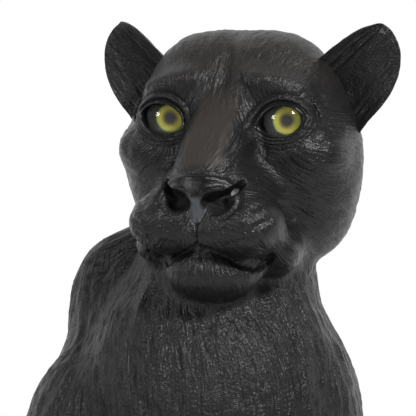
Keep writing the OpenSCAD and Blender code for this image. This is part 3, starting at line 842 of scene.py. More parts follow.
class Relief:
    """Everything finer than the forms: creases, nostrils, hair, and where each finish lies."""

    def __init__(self, figure: Figure) -> None:
        """Keeps the figure and seeds the noises."""
        self.figure = figure
        self.grains = [Grain(seed) for seed in (11, 23, 37)]

    def comb(self, points: Array, normals: Array, onto_body: Array) -> Array:
        """The way the hair lies: back from the nose, out from the eyes, and down the body.

        Args:
            points: In the figure's frame.
            normals: Unit normals.
            onto_body: 0 on the head to 1 on the body.

        Returns:
            Unit vectors along the skin.
        """
        figure = self.figure
        local = figure.into_head(points)
        side = np.where(local[:, 0] < 0, -1.0, 1.0)
        from_nose = unit(local - np.array([0, -112, -34]))
        from_eye = local - np.stack([side * 37, np.full(len(side), -52.0), np.full(len(side), 9.0)], 1)
        near = bell(np.linalg.norm(from_eye, axis=1), 27)[:, None]
        hair = from_nose * (1 - near) + unit(from_eye) * near * 1.2
        hair[:, 2] -= 0.35 * eased(-40, -90, local[:, 2]) + 0.25 * eased(20, 70, np.abs(local[:, 0]))
        hair = hair @ figure.turn.T
        wave = self.grains[0].at(points, 46)
        down = np.stack([0.35 * wave + 0.25 * (points[:, 0] > 20), -0.15 + 0.2 * wave,
                         -np.ones(len(wave))], 1)
        mixed = hair * (1 - onto_body[:, None]) + down * onto_body[:, None]
        return unit(mixed - normals * (mixed * normals).sum(1, keepdims=True))

    def face(self, local: Array) -> tuple[Array, Array, Array, Array]:
        """Creases and openings of the face.

        Args:
            local: Points in the head's frame.

        Returns:
            How far the skin sinks, how bare the leather is (above 1 where the nose plate's reflection is
            painted), how dark the pits are painted as shade, and the shine.
        """
        x, z = np.abs(local[:, 0]), local[:, 2]
        front = eased(-34, -46, local[:, 1])
        sink = sum(crease.sink(x, z) for crease in CREASES)
        gap, along = line_distance(x, z, MOUTH)
        sink = sink + 3.6 * bell(gap, 1.15) * (1 - 0.55 * along)
        lean = math.radians(14)
        across = (x - 12.6) * math.cos(lean) + (z + 42.0) * math.sin(lean)
        up = (z + 42.0) * math.cos(lean) - (x - 12.6) * math.sin(lean)
        nostril = np.sqrt(np.square(across / 9.8) + np.square(up / np.where(up > 0, 5.4, 8.2)))
        tail, _ = line_distance(x, z, ((17, -38), (21.5, -35), (24.5, -31)))
        nostril = np.minimum(nostril, tail / 2.2)
        on_nose = eased(-76, -82, local[:, 1])
        sink = sink + 8.0 * eased(1.12, 0.45, nostril) * on_nose
        # Painted shade for the nostrils and the mouth's line, which also makes them rougher.
        pit_shade = eased(1.1, 0.75, nostril) * on_nose + 0.9 * eased(1.5, 0.6, gap) * eased(0.9, 0.5, along)
        outline = np.sqrt(np.square(x / 25.5) + np.square((z + 37.0) / np.where(z > -37, 11.2, 10.5)))
        half_plate = np.interp(z, [-56, -41], [1.0, 9.0])
        plate_sheen = eased(1.5, 0.2, x - half_plate) * eased(-57, -54, z) * eased(-36, -42, z)
        leather = np.maximum(eased(1.08, 0.94, outline), plate_sheen) * on_nose
        lips = eased(2.2, 0.9, gap) * front
        # Leather is pushed above 1 on the plate, which is where the finish paints a reflection.
        leather = np.maximum(leather, plate_sheen * on_nose * (1 - np.clip(pit_shade, 0, 1)) * 2)
        return sink * front, leather, np.clip(pit_shade, 0, 1) * front, np.maximum(lips, leather * 0.4)

    def apply(self, points: Array, normals: Array, fade: Any = 1.0) -> tuple[Array, dict[str, Array]]:
        """Moves points by the relief and works out what the finish reads.

        Args:
            points: In the figure's frame, one row each.
            normals: Unit normals.
            fade: How much of the hair's relief to use.

        Returns:
            The moved points, and the comb, paint and hollow maps.
        """
        figure = self.figure
        head, body = figure.halves(points)
        onto_body = eased(-10, 16, head - body)
        local = figure.into_head(points)
        sink, leather, pit_shade, shine = self.face(local)
        comb = self.comb(points, normals, onto_body)
        brown = eased(17, 9, np.abs(local[:, 0])) * eased(-40, -50, local[:, 1])
        brown = brown * eased(-24, -18, local[:, 2]) * eased(34, 12, local[:, 2])
        crown = 0.35 * eased(15, 45, local[:, 2]) * (1 - onto_body)
        fur = (1 - np.clip(leather, 0, 1)) * (1 - 0.75 * np.clip(shine, 0, 1)) * (1 - 0.35 * brown)
        hair = self.grains[0].combed(points, comb, 1.9, 6.5)
        lock = self.grains[1].combed(points, comb, 4.2, 16)
        mass = self.grains[2].combed(points, comb, 9.0, 26, 5)
        rise = fur * fade * (hair * (0.24 + 0.1 * onto_body) + lock * (0.3 + 0.5 * onto_body)
                             + mass * (0.25 + 0.9 * onto_body))
        rise = rise + 1.8 * eased(46, 66, local[:, 2]) * (1 - onto_body)
        moved = points + normals * (rise - sink)[:, None]
        zero = np.zeros_like(pit_shade)
        return moved, {
            "comb": comb,
            "paint": np.stack([fur, leather, np.clip(brown + crown, 0, 1)], 1),
            "hollow": np.stack([pit_shade, onto_body, shine + zero], 1),
        }


@dataclass
class EyePlace:
    """Where a glass eye sits, and the almond that the lids leave open, in the head's frame."""

    figure: Figure
    side: Side
    at: Vec = (38.0, -43.0, 9.0)
    ball: float = 17.0
    open_at: tuple[float, float] = (38.6, 8.4)
    long: float = 13.6
    tilt: float = 11.0
    upper: float = 9.0
    lower: float = 9.2

    @property
    def centre(self) -> Array:
        """The middle of the dome's sphere, in the lamp's frame."""
        local = np.array([[self.side.value * self.at[0], self.at[1], self.at[2]]], np.float32)
        return self.figure.on_lamp(self.figure.out_of_head(local))[0]

    @property
    def axis(self) -> Vec:
        """The way that the eye looks: from the middle of its ring to the middle of its iris."""
        name = self.side.name.lower()
        (ring_low, ring_high), (iris_low, iris_high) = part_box(f"eye_ring_{name}"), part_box(f"iris_{name}")
        return tuple((iris_low + iris_high - ring_low - ring_high).normalized())

    def almond(self, angle: Array) -> tuple[Array, Array]:
        """The lids' margin: x = a cos, z = b sin |sin|^0.35, then tilted up at the outer end."""
        height = np.where(np.sin(angle) > 0, self.upper, self.lower)
        x = self.long * np.cos(angle)
        z = height * np.sin(angle) * np.abs(np.sin(angle)) ** 0.35
        lean = math.radians(self.tilt)
        return x * math.cos(lean) - z * math.sin(lean), x * math.sin(lean) + z * math.cos(lean)

    def almond_share(self, x: Array, z: Array) -> Array:
        """How far out a point is: 0 at the middle of the almond, 1 on its margin."""
        angle = np.linspace(-np.pi, np.pi, 361)
        edge_x, edge_z = self.almond(angle)
        turn = np.unwrap(np.arctan2(edge_z, edge_x))
        radius = np.hypot(edge_x, edge_z)
        order = np.argsort(turn)
        here = np.arctan2(z, x)
        edge = np.interp(here, turn[order], radius[order], period=2 * np.pi)
        return np.hypot(x, z) / edge

    def ball_front(self, x: Array, z: Array, grow: float) -> Array:
        """The y of the eyeball's front at places in the face's plane."""
        drop = np.square(self.ball + grow) - np.square(x - self.at[0]) - np.square(z - self.at[2])
        return self.at[1] - np.sqrt(np.maximum(drop, 9.0))


@dataclass
class EyeLids:
    """Both lids of one eye as a single ring: rolled margin, folds, and an edge sunk in the skin."""

    figure: Figure
    relief: Relief
    place: EyePlace
    columns: int = 260
    rows: int = 64
    spread: float = 10.5

    def folds(self, out: Array, angle: Array) -> Array:
        """Sink of the folds by distance out from the margin, above and below."""
        above = eased(-0.1, 0.35, np.sin(angle))
        below = eased(0.05, -0.4, np.sin(angle))
        heavy = 1.5 * bell(out - 3.0, 0.8) - 1.3 * bell(out - 5.4, 1.5) + 0.9 * bell(out - 8.2, 1.0)
        fine = sum(0.42 * bell(out - k - 0.9 * np.cos(2 * angle), 0.5) for k in (2.2, 4.1, 6.4))
        return heavy * above + fine * below

    def build(self, material: bpy.types.Material) -> None:
        """Columns go round the almond and rows go out from it; each point is found on the skin."""
        place, figure, side = self.place, self.figure, self.place.side.value
        angle = (np.arange(self.columns) * 2 * np.pi / self.columns).astype(np.float32)
        edge_x, edge_z = place.almond(angle)
        outward = unit(np.stack([edge_x / place.long ** 2, edge_z / place.upper ** 2], 1))
        share = np.linspace(0, 1, self.rows)[:, None]
        out = share ** 1.15 * self.spread * (1 + 0.12 * np.sin(angle))[None]
        x = place.open_at[0] + edge_x[None] + outward[None, :, 0] * out
        z = place.open_at[1] + edge_z[None] + outward[None, :, 1] * out
        start = np.stack([x.ravel(), np.full(x.size, -130.0), z.ravel()], 1).astype(np.float32)
        flipped = start * np.array([side, 1, 1], np.float32)
        way = np.repeat(np.array([[0, 1, 0]], np.float32), x.size, 0) @ figure.turn.T
        hit = self.march_in(figure.out_of_head(flipped), way)
        local = figure.into_head(hit)
        skin = local[:, 1].reshape(x.shape)
        ball = place.ball_front(x, z, 0.05)
        lid = np.minimum(skin, ball - 1.5)
        roll = np.sqrt(np.clip(1 - np.square(1 - np.clip(out / 1.5, 0, 1)), 0, 1))
        y = (ball + 0.9) * (1 - roll) + lid * roll
        y = y + self.folds(out, angle[None]) * eased(1, 0.75, share) * roll
        y = y + 0.3 * eased(0.86, 1, share)
        local = np.stack([side * x, y, z], -1)
        if side < 0:
            local = local[:, ::-1]
            share_out = out[:, ::-1]
        else:
            share_out = out
        local = local[:, ::-1]
        share_out = share_out[:, ::-1]
        points = figure.out_of_head(local.reshape(-1, 3).astype(np.float32)).reshape(local.shape)
        normals = grid_normals(points)
        fade = eased(1.2, 5, share_out).ravel()
        moved, maps = self.relief.apply(points.reshape(-1, 3), normals.reshape(-1, 3), fade)
        grid = figure.on_lamp(moved).reshape(points.shape)
        wet = eased(4.0, 0.8, share_out).ravel()
        maps["paint"][:, 0] *= 0.15 + 0.85 * fade
        maps["hollow"][:, 2] = np.maximum(maps["hollow"][:, 2], wet)
        name = f"eyelids_{place.side.name.lower()}"
        piece = Piece.from_grid(name, grid)
        for key, values in maps.items():
            piece.paint(key, values)
        piece.dress(material, "black_cast", "lamp", "panther_shell")

    def march_in(self, start: Array, way: Array) -> Array:
        """The skin in front of the eye, found from the face's front backward."""
        t = np.zeros(len(start), np.float32)
        for _ in range(30):
            t = t + 0.9 * self.figure.field(start + way * t[:, None])
        return start + way * t[:, None]


@dataclass
class GlassEye:
    """A domed clear glass and the bed that it sits in."""

    place: EyePlace
    rim: float = 14.0
    back: float = 7.9
    bevel: float = 0.3
    bed_room: float = 0.12
    bed_thick: float = 0.9
    columns: int = 96

    def build(self, glass: bpy.types.Material, skin: bpy.types.Material) -> None:
        """Turns the dome and its bed about the eye's axis."""
        name = self.place.side.name.lower()
        at = tuple(self.place.centre)
        ball = self.place.ball
        edge = math.degrees(math.asin(self.rim / ball))
        dome = arc((0, 0), ball, 90 - edge, 90, 26)
        bevel = self.bevel
        outline = [(0, self.back), (self.rim - bevel, self.back), (self.rim, self.back + bevel),
                   *dome[:-1], (0, ball)]
        piece = turned(f"glass_eye_{name}", outline, at, self.columns, self.place.axis)
        piece.dress(glass, "eye_glass", "lamp", f"eye_glass_{name}")
        shell = arc((0, 0), ball + self.bed_room, 90 - edge + 0.6, -8, 20)
        inner = arc((0, 0), ball - self.bed_thick, -8, 90 - edge - 2.5, 12)
        bed = turned(f"eye_bed_{name}", [*shell, *inner][::-1], at, self.columns, self.place.axis)
        zero = np.zeros((len(bed.used), 3))
        bed.paint("comb", zero + (0, 0, 1))
        bed.paint("paint", zero)
        bed.paint("hollow", zero + (0, 0, 1))
        bed.dress(skin, "black_cast", "lamp", "panther_shell")


@dataclass
class Ear:
    """A cupped leaf with a thin closed section, its hollow folded and tufted."""

    figure: Figure
    relief: Relief
    side: Side
    rows: int = 150
    columns: int = 220
    root: Vec = (57.0, 2.0, 30.0)
    grows: Vec = (0.60, -0.10, 0.79)
    faces: Vec = (0.45, -0.88, 0.0)
    height: float = 54.0
    outer: float = 30.0
    inner: float = 27.0
    cup: float = 16.0
    thick: float = 5.0
    low: float = -0.3
    high: float = 0.992

    def build(self, material: bpy.types.Material) -> None:
        """Rows run up the ear; columns run round its section, wide by cos and thin by sin."""
        up = unit(np.array(self.grows))
        face = np.array(self.faces)
        face = unit(face - up * (up @ face))
        across = np.cross(up, face)
        s = np.linspace(0, 1, self.rows)
        s = (self.low + (self.high - self.low) * (1 - (1 - s) ** 1.35))[:, None]
        a = (np.arange(self.columns) * 2 * np.pi / self.columns)[None]
        q, thin = np.cos(a), np.sin(a)
        t = np.clip(s, 0, 1)
        outer = self.outer * np.sqrt(1 - t ** 2.6) * (1 - 0.15 * (1 - t) ** 2)
        inner = self.inner * (1 - t) ** 0.75 + 8 * t * np.sqrt(1 - t ** 3)
        width = (outer + inner) / 2
        thick = self.thick * np.minimum(width / 12, 1)
        cup = self.cup * (0.55 + 0.45 * (1 - s)) * q * q * np.minimum(width / 24, 1)
        front = eased(0, 0.25, thin)
        hollow = front * eased(1, 0.72, np.abs(q)) * eased(0.98, 0.7, s)
        fold = 1.6 * bell(q + 0.42 - 0.2 * s, 0.07) + 1.1 * bell(q + 0.68 - 0.1 * s, 0.05)
        fold = fold + 1.0 * bell(q - 0.62, 0.08) - 2.5 * bell(q + 0.05, 0.32) * eased(0.75, 0.1, s)
        sheet = cup + thick / 2 * np.sign(thin) * np.abs(thin) ** 0.6 + fold * hollow
        local = (np.array(self.root) + up * (s * self.height)[..., None]
                 + across * (np.where(q > 0, outer, inner) * q)[..., None] + face * sheet[..., None])
        local = local * np.array([self.side.value, 1, 1])
        if self.side is Side.LEFT:
            local, front, hollow = (np.flip(v, 1) for v in (local, front + 0 * s, hollow))
        else:
            front = front + 0 * s
        flat = self.figure.out_of_head(local.reshape(-1, 3).astype(np.float32))
        normals = grid_normals(flat.reshape(local.shape)).reshape(-1, 3)
        grow = (up * np.array([self.side.value, 1, 1])) @ self.figure.turn.T
        comb = unit(grow - normals * (normals @ grow)[:, None])
        hair = self.relief.grains[0].combed(flat, comb, 1.7, 7)
        lock = self.relief.grains[1].combed(flat, comb, 3.4, 16)
        inside = hollow.ravel()
        moved = flat + normals * (hair * 0.16 + lock * (0.18 + 0.5 * inside))[:, None]
        one = np.ones(len(flat))
        piece = Piece.from_grid(f"ear_{self.side.name.lower()}",
                                self.figure.on_lamp(moved).reshape(local.shape), low=True, high=True)
        piece.paint("comb", comb)
        piece.paint("paint", np.stack([one, 0 * one, 0 * one], 1))
        # A quarter of the pits' painted shade darkens the ear's hollow.
        piece.paint("hollow", np.stack([inside * 0.25, 0.3 * one, 0 * one], 1))
        piece.dress(material, "black_cast", "lamp", "panther_shell")


@dataclass
class PantherSkin:
    """The outer skin in two pieces, the inner skin, and the rim of the arch in the back."""

    figure: Figure
    relief: Relief
    columns: int = 440
    head_rows: int = 225
    body_rows: int = 200
    meeting: float = -32.0
    crown: float = 89.4
    front: float = -112.0
    pull: float = 30.0
    wall: float = 6.0
    arch_width: float = 84.0
    arch_height: float = 130.0

    def __post_init__(self) -> None:
        """Takes the lamp's axis from the pipe."""
        low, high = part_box("lamp_pipe")
        self.axis = (low + high) / 2 / MM

    def angles(self, columns: int) -> Array:
        """Compass angles, closest together at the face."""
        even = np.arange(columns) * 360.0 / columns
        return even - self.pull * np.sin(np.radians(even)) + self.front

    def elevations(self, body: int, head: int) -> tuple[Array, Array]:
        """Rows from the floor to the crown, closest together across the face."""
        low = np.linspace(1, 0, body)
        e = np.linspace(self.meeting, self.crown, 800)
        gone = np.cumsum(1 + 1.7 * bell(e + 3, 25))
        high = np.interp(np.linspace(gone[0], gone[-1], head), gone, e)
        share = np.concatenate([low, np.zeros(head - 1)])
        return share, np.concatenate([np.full(body, self.meeting), high[1:]])

    def arch_distance(self, x: Array, z: Array) -> Array:
        """Distance outside the arch's outline: a half circle on two straight sides."""
        spring = self.arch_height - self.arch_width / 2
        return np.hypot(x - self.axis.x, np.maximum(z - spring, 0)) - self.arch_width / 2

    def with_arch(self, points: Array) -> tuple[Array, Array]:
        """Draws the grid's edge on to the arch and says which quads lie outside it."""
        rows, columns = points.shape[:2]
        flat = points.reshape(-1, 3)
        distance = self.arch_distance(flat[:, 0], flat[:, 2])
        inside = (distance < 0) & (flat[:, 1] > self.axis.y)
        quads = grid_faces(rows, columns)
        keep = ~inside[quads].all(1)
        edge = np.zeros(len(flat), bool)
        edge[quads[keep]] = True
        edge &= inside
        away = np.stack([flat[:, 0] - self.axis.x,
                         np.maximum(flat[:, 2] - self.arch_height + self.arch_width / 2, 0)], 1)
        away = unit(away)
        flat = flat.copy()
        flat[edge, 0] -= away[edge, 0] * distance[edge]
        flat[edge, 2] -= away[edge, 1] * distance[edge]
        return flat.reshape(points.shape), keep

    def under_lids(self, points: Array, normals: Array) -> Array:
        """Draws the skin back under the eyelids, and deep behind the glass."""
        local = self.figure.into_head(points)
        place = EyePlace(self.figure, Side.LEFT)
        x, z = np.abs(local[:, 0]) - place.open_at[0], local[:, 2] - place.open_at[1]
        share = place.almond_share(x, z)
        out = (share - 1) * np.hypot(x, z) / np.maximum(share, 0.05)
        here = eased(-30, -36, local[:, 1])
        back = (1.3 * eased(9.3, 7.0, out) + 17 * eased(3.6, 1.6, out)) * here
        way = np.array([[0, 1, 0]], np.float32) @ self.figure.turn.T
        return points + way * back[:, None]

    def build_outside(self, material: bpy.types.Material) -> None:
        """Casts the whole skin once, adds the relief, then cuts it in two at one row."""
        share = self.elevations(self.body_rows, self.head_rows)
        grid = self.figure.skin(self.angles(self.columns), 0.0, share)
        normals = grid_normals(grid).reshape(-1, 3)
        moved, maps = self.relief.apply(grid.reshape(-1, 3), normals)
        moved = self.under_lids(moved, normals)
        moved, keep = self.with_arch(moved.reshape(grid.shape))
        normals = grid_normals(moved).reshape(-1, 3)
        moved = self.figure.on_lamp(moved)
        seam = self.body_rows - 1
        across = self.columns
        halves = {"bust_body": (0, seam + 1), "bust_head": (seam, grid.shape[0])}
        for name, (low, high) in halves.items():
            part = keep[low * across: (high - 1) * across]
            piece = Piece.from_grid(name, moved[low:high], keep=part)
            rows = slice(low * across, high * across)
            for key, values in maps.items():
                piece.paint(key, values[rows])
            piece.shade(normals[rows])
            if name == "bust_head":
                self.close_crown(piece)
            piece.dress(material, "black_cast", "lamp", "panther_shell")

    def close_crown(self, piece: Piece) -> None:
        """Nothing is left open at the top: the last ring is drawn to a point."""
        co = np.zeros(len(piece.mesh.vertices) * 3, np.float32)
        piece.mesh.vertices.foreach_get("co", co)
        co = co.reshape(-1, 3)
        co[-self.columns:] = co[-self.columns:].mean(0)
        piece.mesh.vertices.foreach_set("co", co.ravel())
        piece.mesh.update()

    def build_inside(self, material: bpy.types.Material) -> None:
        """The hollow's skin, turned to face inward."""
        columns = 200
        even = np.arange(columns) * 360.0 / columns + self.front
        grid = self.figure.skin(even, 0.5, self.elevations(60, 90), self.wall, True)
        grid, keep = self.with_arch(grid)
        mirrored = grid[:, ::-1]
        quads = keep.reshape(grid.shape[0] - 1, columns)
        quads = np.roll(quads[:, ::-1], -1, 1).ravel()
        piece = Piece.from_grid("bust_inside", self.figure.on_lamp(mirrored), keep=quads)
        count = grid.shape[0] * columns
        zero = np.zeros((count, 3))
        piece.paint("comb", zero + (0, 0, 1))
        piece.paint("paint", zero + (0.25, 0, 0.5))
        piece.paint("hollow", zero)
        piece.dress(material, "black_cast", "lamp", "panther_shell")

    def build_rim(self, material: bpy.types.Material) -> None:
        """The arch's edge: an oval carried round the outline, from the outer skin to the inner."""
        radius = self.arch_width / 2
        spring = self.arch_height - radius
        sides = np.linspace(0, spring, 60)[:-1]
        turn = np.linspace(0, np.pi, 100)
        path = np.concatenate([
            np.stack([np.full(59, radius), sides], 1),
            np.stack([radius * np.cos(turn), spring + radius * np.sin(turn)], 1),
            np.stack([np.full(59, -radius), sides[::-1]], 1)])
        out = unit(np.stack([path[:, 0], np.maximum(path[:, 1] - spring, 0)], 1))
        x, z = path[:, 0] + self.axis.x, path[:, 1]
        start = np.stack([x, np.full(len(x), 170.0), z], 1).astype(np.float32)
        way = np.repeat(np.array([[0, -1, 0]], np.float32), len(x), 0)
        depths = []
        for depth, hollow in ((0.0, False), (self.wall, True)):
            t = np.zeros(len(x), np.float32)
            for _ in range(40):
                t = t + 0.8 * (self.figure.field(start + way * t[:, None], hollow) + depth)
            depths.append(170.0 - t)
        outer, inner = depths
        middle, half = (outer + inner) / 2, (outer - inner) / 2 + 0.6
        angle = (np.arange(28) * 2 * np.pi / 28)[None]
        bulge = np.sign(np.cos(angle)) * np.abs(np.cos(angle)) ** 0.7 * 1.9
        y = middle[:, None] + half[:, None] * np.sign(np.sin(angle)) * np.abs(np.sin(angle)) ** 0.7
        points = np.stack([x[:, None] + out[:, :1] * bulge, y, z[:, None] + out[:, 1:] * bulge], -1)
        piece = Piece.from_grid("arch_rim", self.figure.on_lamp(points[:, ::-1]), low=True, high=True)
        zero = np.zeros((points.shape[0] * points.shape[1], 3))
        piece.paint("comb", zero + (0, 1, 0))
        piece.paint("paint", zero + (0.2, 0, 0.3))
        piece.paint("hollow", zero)
        piece.dress(material, "black_cast", "lamp", "panther_shell")


# ---------------------------------------------------------------- the base and the lamp inside
@dataclass
class Base:
    """The lacquered board, with a rounded top edge and a bored inlet for the cord."""

    corner: float = 60.0
    round_over: float = 4.0
    foot_bevel: float = 1.2
    insets: tuple[float, ...] = (8.0, 20.0, 40.0, 59.0)
    inlet_bore: float = 3.1
    inlet_wall: float = 5.0
    inlet_flange: float = 6.8
    inlet_room: float = 0.1
    columns: int = 400

    def outline(self, half_x: float, half_y: float, inset: float) -> Array:
        """A rectangle with round corners, stepped evenly round by angle of its edge's normal."""
        radius = self.corner - inset
        turn = np.arange(self.columns) * 2 * np.pi / self.columns
        quarter = np.floor(turn / (np.pi / 2))
        share = turn / (np.pi / 2) - quarter
        middle = np.clip((share - 0.2) / 0.6, 0, 1)
        angle = (quarter + middle) * np.pi / 2
        corner = np.array([[1, 1], [-1, 1], [-1, -1], [1, -1]])[quarter.astype(int) % 4]
        after = np.array([[-1, 1], [-1, -1], [1, -1], [1, 1]])[quarter.astype(int) % 4]
        before = np.array([[1, -1], [1, 1], [-1, 1], [-1, -1]])[quarter.astype(int) % 4]
        slide_in = np.clip(share / 0.2, 0, 1)[:, None] * 0.5 + 0.5
        slide_out = np.clip((share - 0.8) / 0.2, 0, 1)[:, None] * 0.5
        where = before * (1 - slide_in) + corner * slide_in
        where = np.where(share[:, None] > 0.8, corner * (1 - slide_out) + after * slide_out, where)
        centre = where * np.array([half_x - self.corner, half_y - self.corner])
        return centre + radius * np.stack([np.cos(angle), np.sin(angle)], 1)

    def build(self, board: bpy.types.Material, rubber: bpy.types.Material) -> None:
        """The outline at each height of a section, from the underside over the edge to the top."""
        low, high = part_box("base_board")
        half = (high - low) / 2 / MM
        bottom, top = low.z / MM, high.z / MM
        over = arc((0, top - self.round_over), self.round_over, 0, 90, 10)
        bevel = self.foot_bevel
        section = [(40.0, bottom), (bevel, bottom), (bevel / 3, bottom + 0.3 * bevel), (0.0, bottom + bevel)]
        section += [(0.0, bottom + (top - bottom) * k / 5) for k in range(1, 4)]
        section += [(self.round_over - x, z) for x, z in over]
        section += [(inset, top) for inset in self.insets]
        rows = [np.column_stack([self.outline(half.x, half.y, inset), np.full(self.columns, z)])
                for inset, z in section]
        piece = Piece.from_grid("board", np.array(rows), low=True, high=True)
        inlet_low, inlet_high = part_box("cord_bushing")
        middle = (inlet_low + inlet_high) / 2
        hole = (self.inlet_wall + self.inlet_room) * MM
        bpy.ops.mesh.primitive_cylinder_add(vertices=48, radius=hole, depth=50 * MM,
                                            location=(middle.x, inlet_high.y, middle.z),
                                            rotation=(math.pi / 2, 0, 0))
        cutter = bpy.context.object
        cut = piece.object.modifiers.new("inlet", "BOOLEAN")
        cut.operation, cut.object, cut.solver = "DIFFERENCE", cutter, "EXACT"
        bpy.context.view_layer.objects.active = piece.object
        bpy.ops.object.modifier_apply(modifier="inlet")
        bpy.data.objects.remove(cutter)
        piece.mesh = piece.object.data
        piece.dress(board, "lacquered_wood", "lamp", "base_board")
        start, end = inlet_low.y / MM, inlet_high.y / MM
        bore, wall, flange = self.inlet_bore, self.inlet_wall, self.inlet_flange
        lip = arc((flange - 0.8, 0.4), 0.8, -60, 90, 6)
        outline = [(bore, start - end), (wall, start - end), (wall, -0.3), (flange, -0.3), *lip,
                   (bore + 0.8, 1.2), (bore, 0.4)]
        at = (middle.x / MM, end, middle.z / MM)
        bushing = turned("inlet_bushing", outline, at, 64, (0.0, 1.0, 0.0))
        bushing.dress(rubber, "rubber", "lamp", "cord_bushing")


@dataclass
class BulbAndSocket:
    """The upright bulb with its screw cap and coiled wire, and the shell that it screws into."""

    pitch: float = 3.63
    thread: float = 0.85
    sheet: float = 0.6
    glass_wall: float = 0.8
    columns: int = 120

    def __post_init__(self) -> None:
        """Takes the axis from the bulb's own box."""
        low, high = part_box("bulb_glass")
        self.at = ((low.x + high.x) / 2 / MM, (low.y + high.y) / 2 / MM, 0.0)
        self.globe = (high.x - low.x) / 2 / MM
        self.top = high.z / MM
        self.foot = low.z / MM

    def glass_outline(self, inset: float) -> list[tuple[float, float]]:
        """Half the bulb: neck, a curve out to the globe, and the globe, by equal tangents."""
        neck, bend = 12.4 - inset, 14.0 + inset
        radius = self.globe - inset
        middle = self.top - self.globe
        drop = math.sqrt((radius + bend) ** 2 - (neck + bend) ** 2)
        lean = math.degrees(math.atan2(drop, neck + bend))
        shoulder = arc((neck + bend, middle - drop), bend, 180, 180 - lean, 14)
        crown = arc((0, middle), radius, -lean, 90, 44)
        return [(neck, self.foot), *shoulder, *crown[1:-1], (0.0, self.top - inset)]

    def thread_wave(self, low: float, high: float) -> Callable[[Array, Array], Array]:
        """Extra radius of a rolled thread: the sine of angle and height, faded at both ends."""
        def wave(angle: Array, height: Array) -> Array:
            """Radius by angle and height."""
            turn = np.sin(2 * np.pi * height / self.pitch - angle)
            ends = eased(low, low + 2, height) * eased(high, high - 2, height)
            return -self.thread * (0.5 - 0.5 * turn) * ends
        return wave

    def build(self, finishes: dict[str, bpy.types.Material]) -> None:
        """Turns each part on the lamp's axis."""
        outside, inside = self.glass_outline(0), self.glass_outline(self.glass_wall)
        wall = [*outside[:-1], (0.01, self.top), (0.01, self.top - self.glass_wall), *inside[:-1][::-1]]
        glass = turned("globe", wall, self.at, 128)
        glass.dress(finishes["bulb_glass"], "bulb_glass", "bulb", "bulb_glass")
        low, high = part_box("bulb_cap")
        foot, top, radius = low.z / MM, high.z / MM, (high.x - low.x) / 2 / MM
        heights = np.linspace(foot + 1.6, top - 0.4, 70)
        skin = [(radius - 4, foot + 0.02), *arc((radius - 1.6, foot + 1.6), 1.6, -90, 0, 6),
                *[(radius, z) for z in heights[1:]]]
        lining = [(radius - 0.5, top - 0.4), (radius - 1.4, foot + 2.0), (radius - 4, foot + 0.6)]
        cap = turned("screw_cap", [*skin, *lining], self.at, self.columns,
                     wobble=self.thread_wave(foot + 2.5, top - 3.0))
        cap.dress(finishes["brass"], "brass", "bulb", "bulb_cap")
        self.build_wires(finishes)
        self.build_socket(finishes)

    def build_wires(self, finishes: dict[str, bpy.types.Material]) -> None:
        """The glowing wire: a fine helix carried round the half circle between the leads."""
        low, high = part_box("filament")
        radius = (high.x - low.x) / 2 / MM - 0.6
        turns, steps = 46, 12
        t = np.linspace(0, 1, turns * steps + 1)
        around, coil = np.pi * t, 2 * np.pi * turns * t
        out = np.stack([np.cos(around), np.sin(around), 0 * t], 1)
        middle = np.array([self.at[0], self.at[1], (low.z + high.z) / 2 / MM])
        path = middle + out * (radius + 0.45 * np.cos(coil))[:, None]
        path[:, 2] += 0.45 * np.sin(coil)
        wire = tube("coiled_wire", path, 0.11, 6)
        wire.dress(finishes["tungsten"], "tungsten", "bulb", "filament")

    def build_socket(self, finishes: dict[str, bpy.types.Material]) -> None:
        """The brass shell with two rolled beads, and the cap with its rounded foot."""
        low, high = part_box("socket_shell")
        foot, top, radius = low.z / MM, high.z / MM, (high.x - low.x) / 2 / MM
        sheet = self.sheet
        beads = [(radius, foot), (radius, foot + 7)]
        for centre in (foot + 9, top - 8):
            beads += [(radius + math.sin(math.pi * k / 10), centre - 1.6 + 0.32 * k)
                      for k in range(11)]
            beads += [(radius, centre + 2.4)]
        beads += [(radius, top - 1.4), *arc((radius + 0.1, top - 0.7), 0.7, -60, 120, 8)]
        wall = [*beads, (radius - sheet, top - 1.0), (radius - sheet, foot)]
        shell = turned("socket_barrel", wall, self.at, self.columns)
        shell.dress(finishes["brass"], "brass", "lamp", "socket_shell")
        low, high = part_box("socket_cap")
        foot, top, radius = low.z / MM, high.z / MM, (high.x - low.x) / 2 / MM
        bore = 5.1
        corner = arc((radius - 7, foot + 7), 7, -90, 0, 12)
        cup = [(bore, foot), *corner, (radius, top - 1.5), (radius + 0.25, top - 0.9),
               (radius + 0.1, top - 0.2), (radius - sheet, top), (radius - sheet, foot + 8),
               *arc((radius - 7, foot + 7.6), 6.4, 0, -90, 10), (bore, foot + 0.7)]
        cap = turned("socket_cup", cup, self.at, self.columns)
        cap.dress(finishes["brass"], "brass", "lamp", "socket_cap")


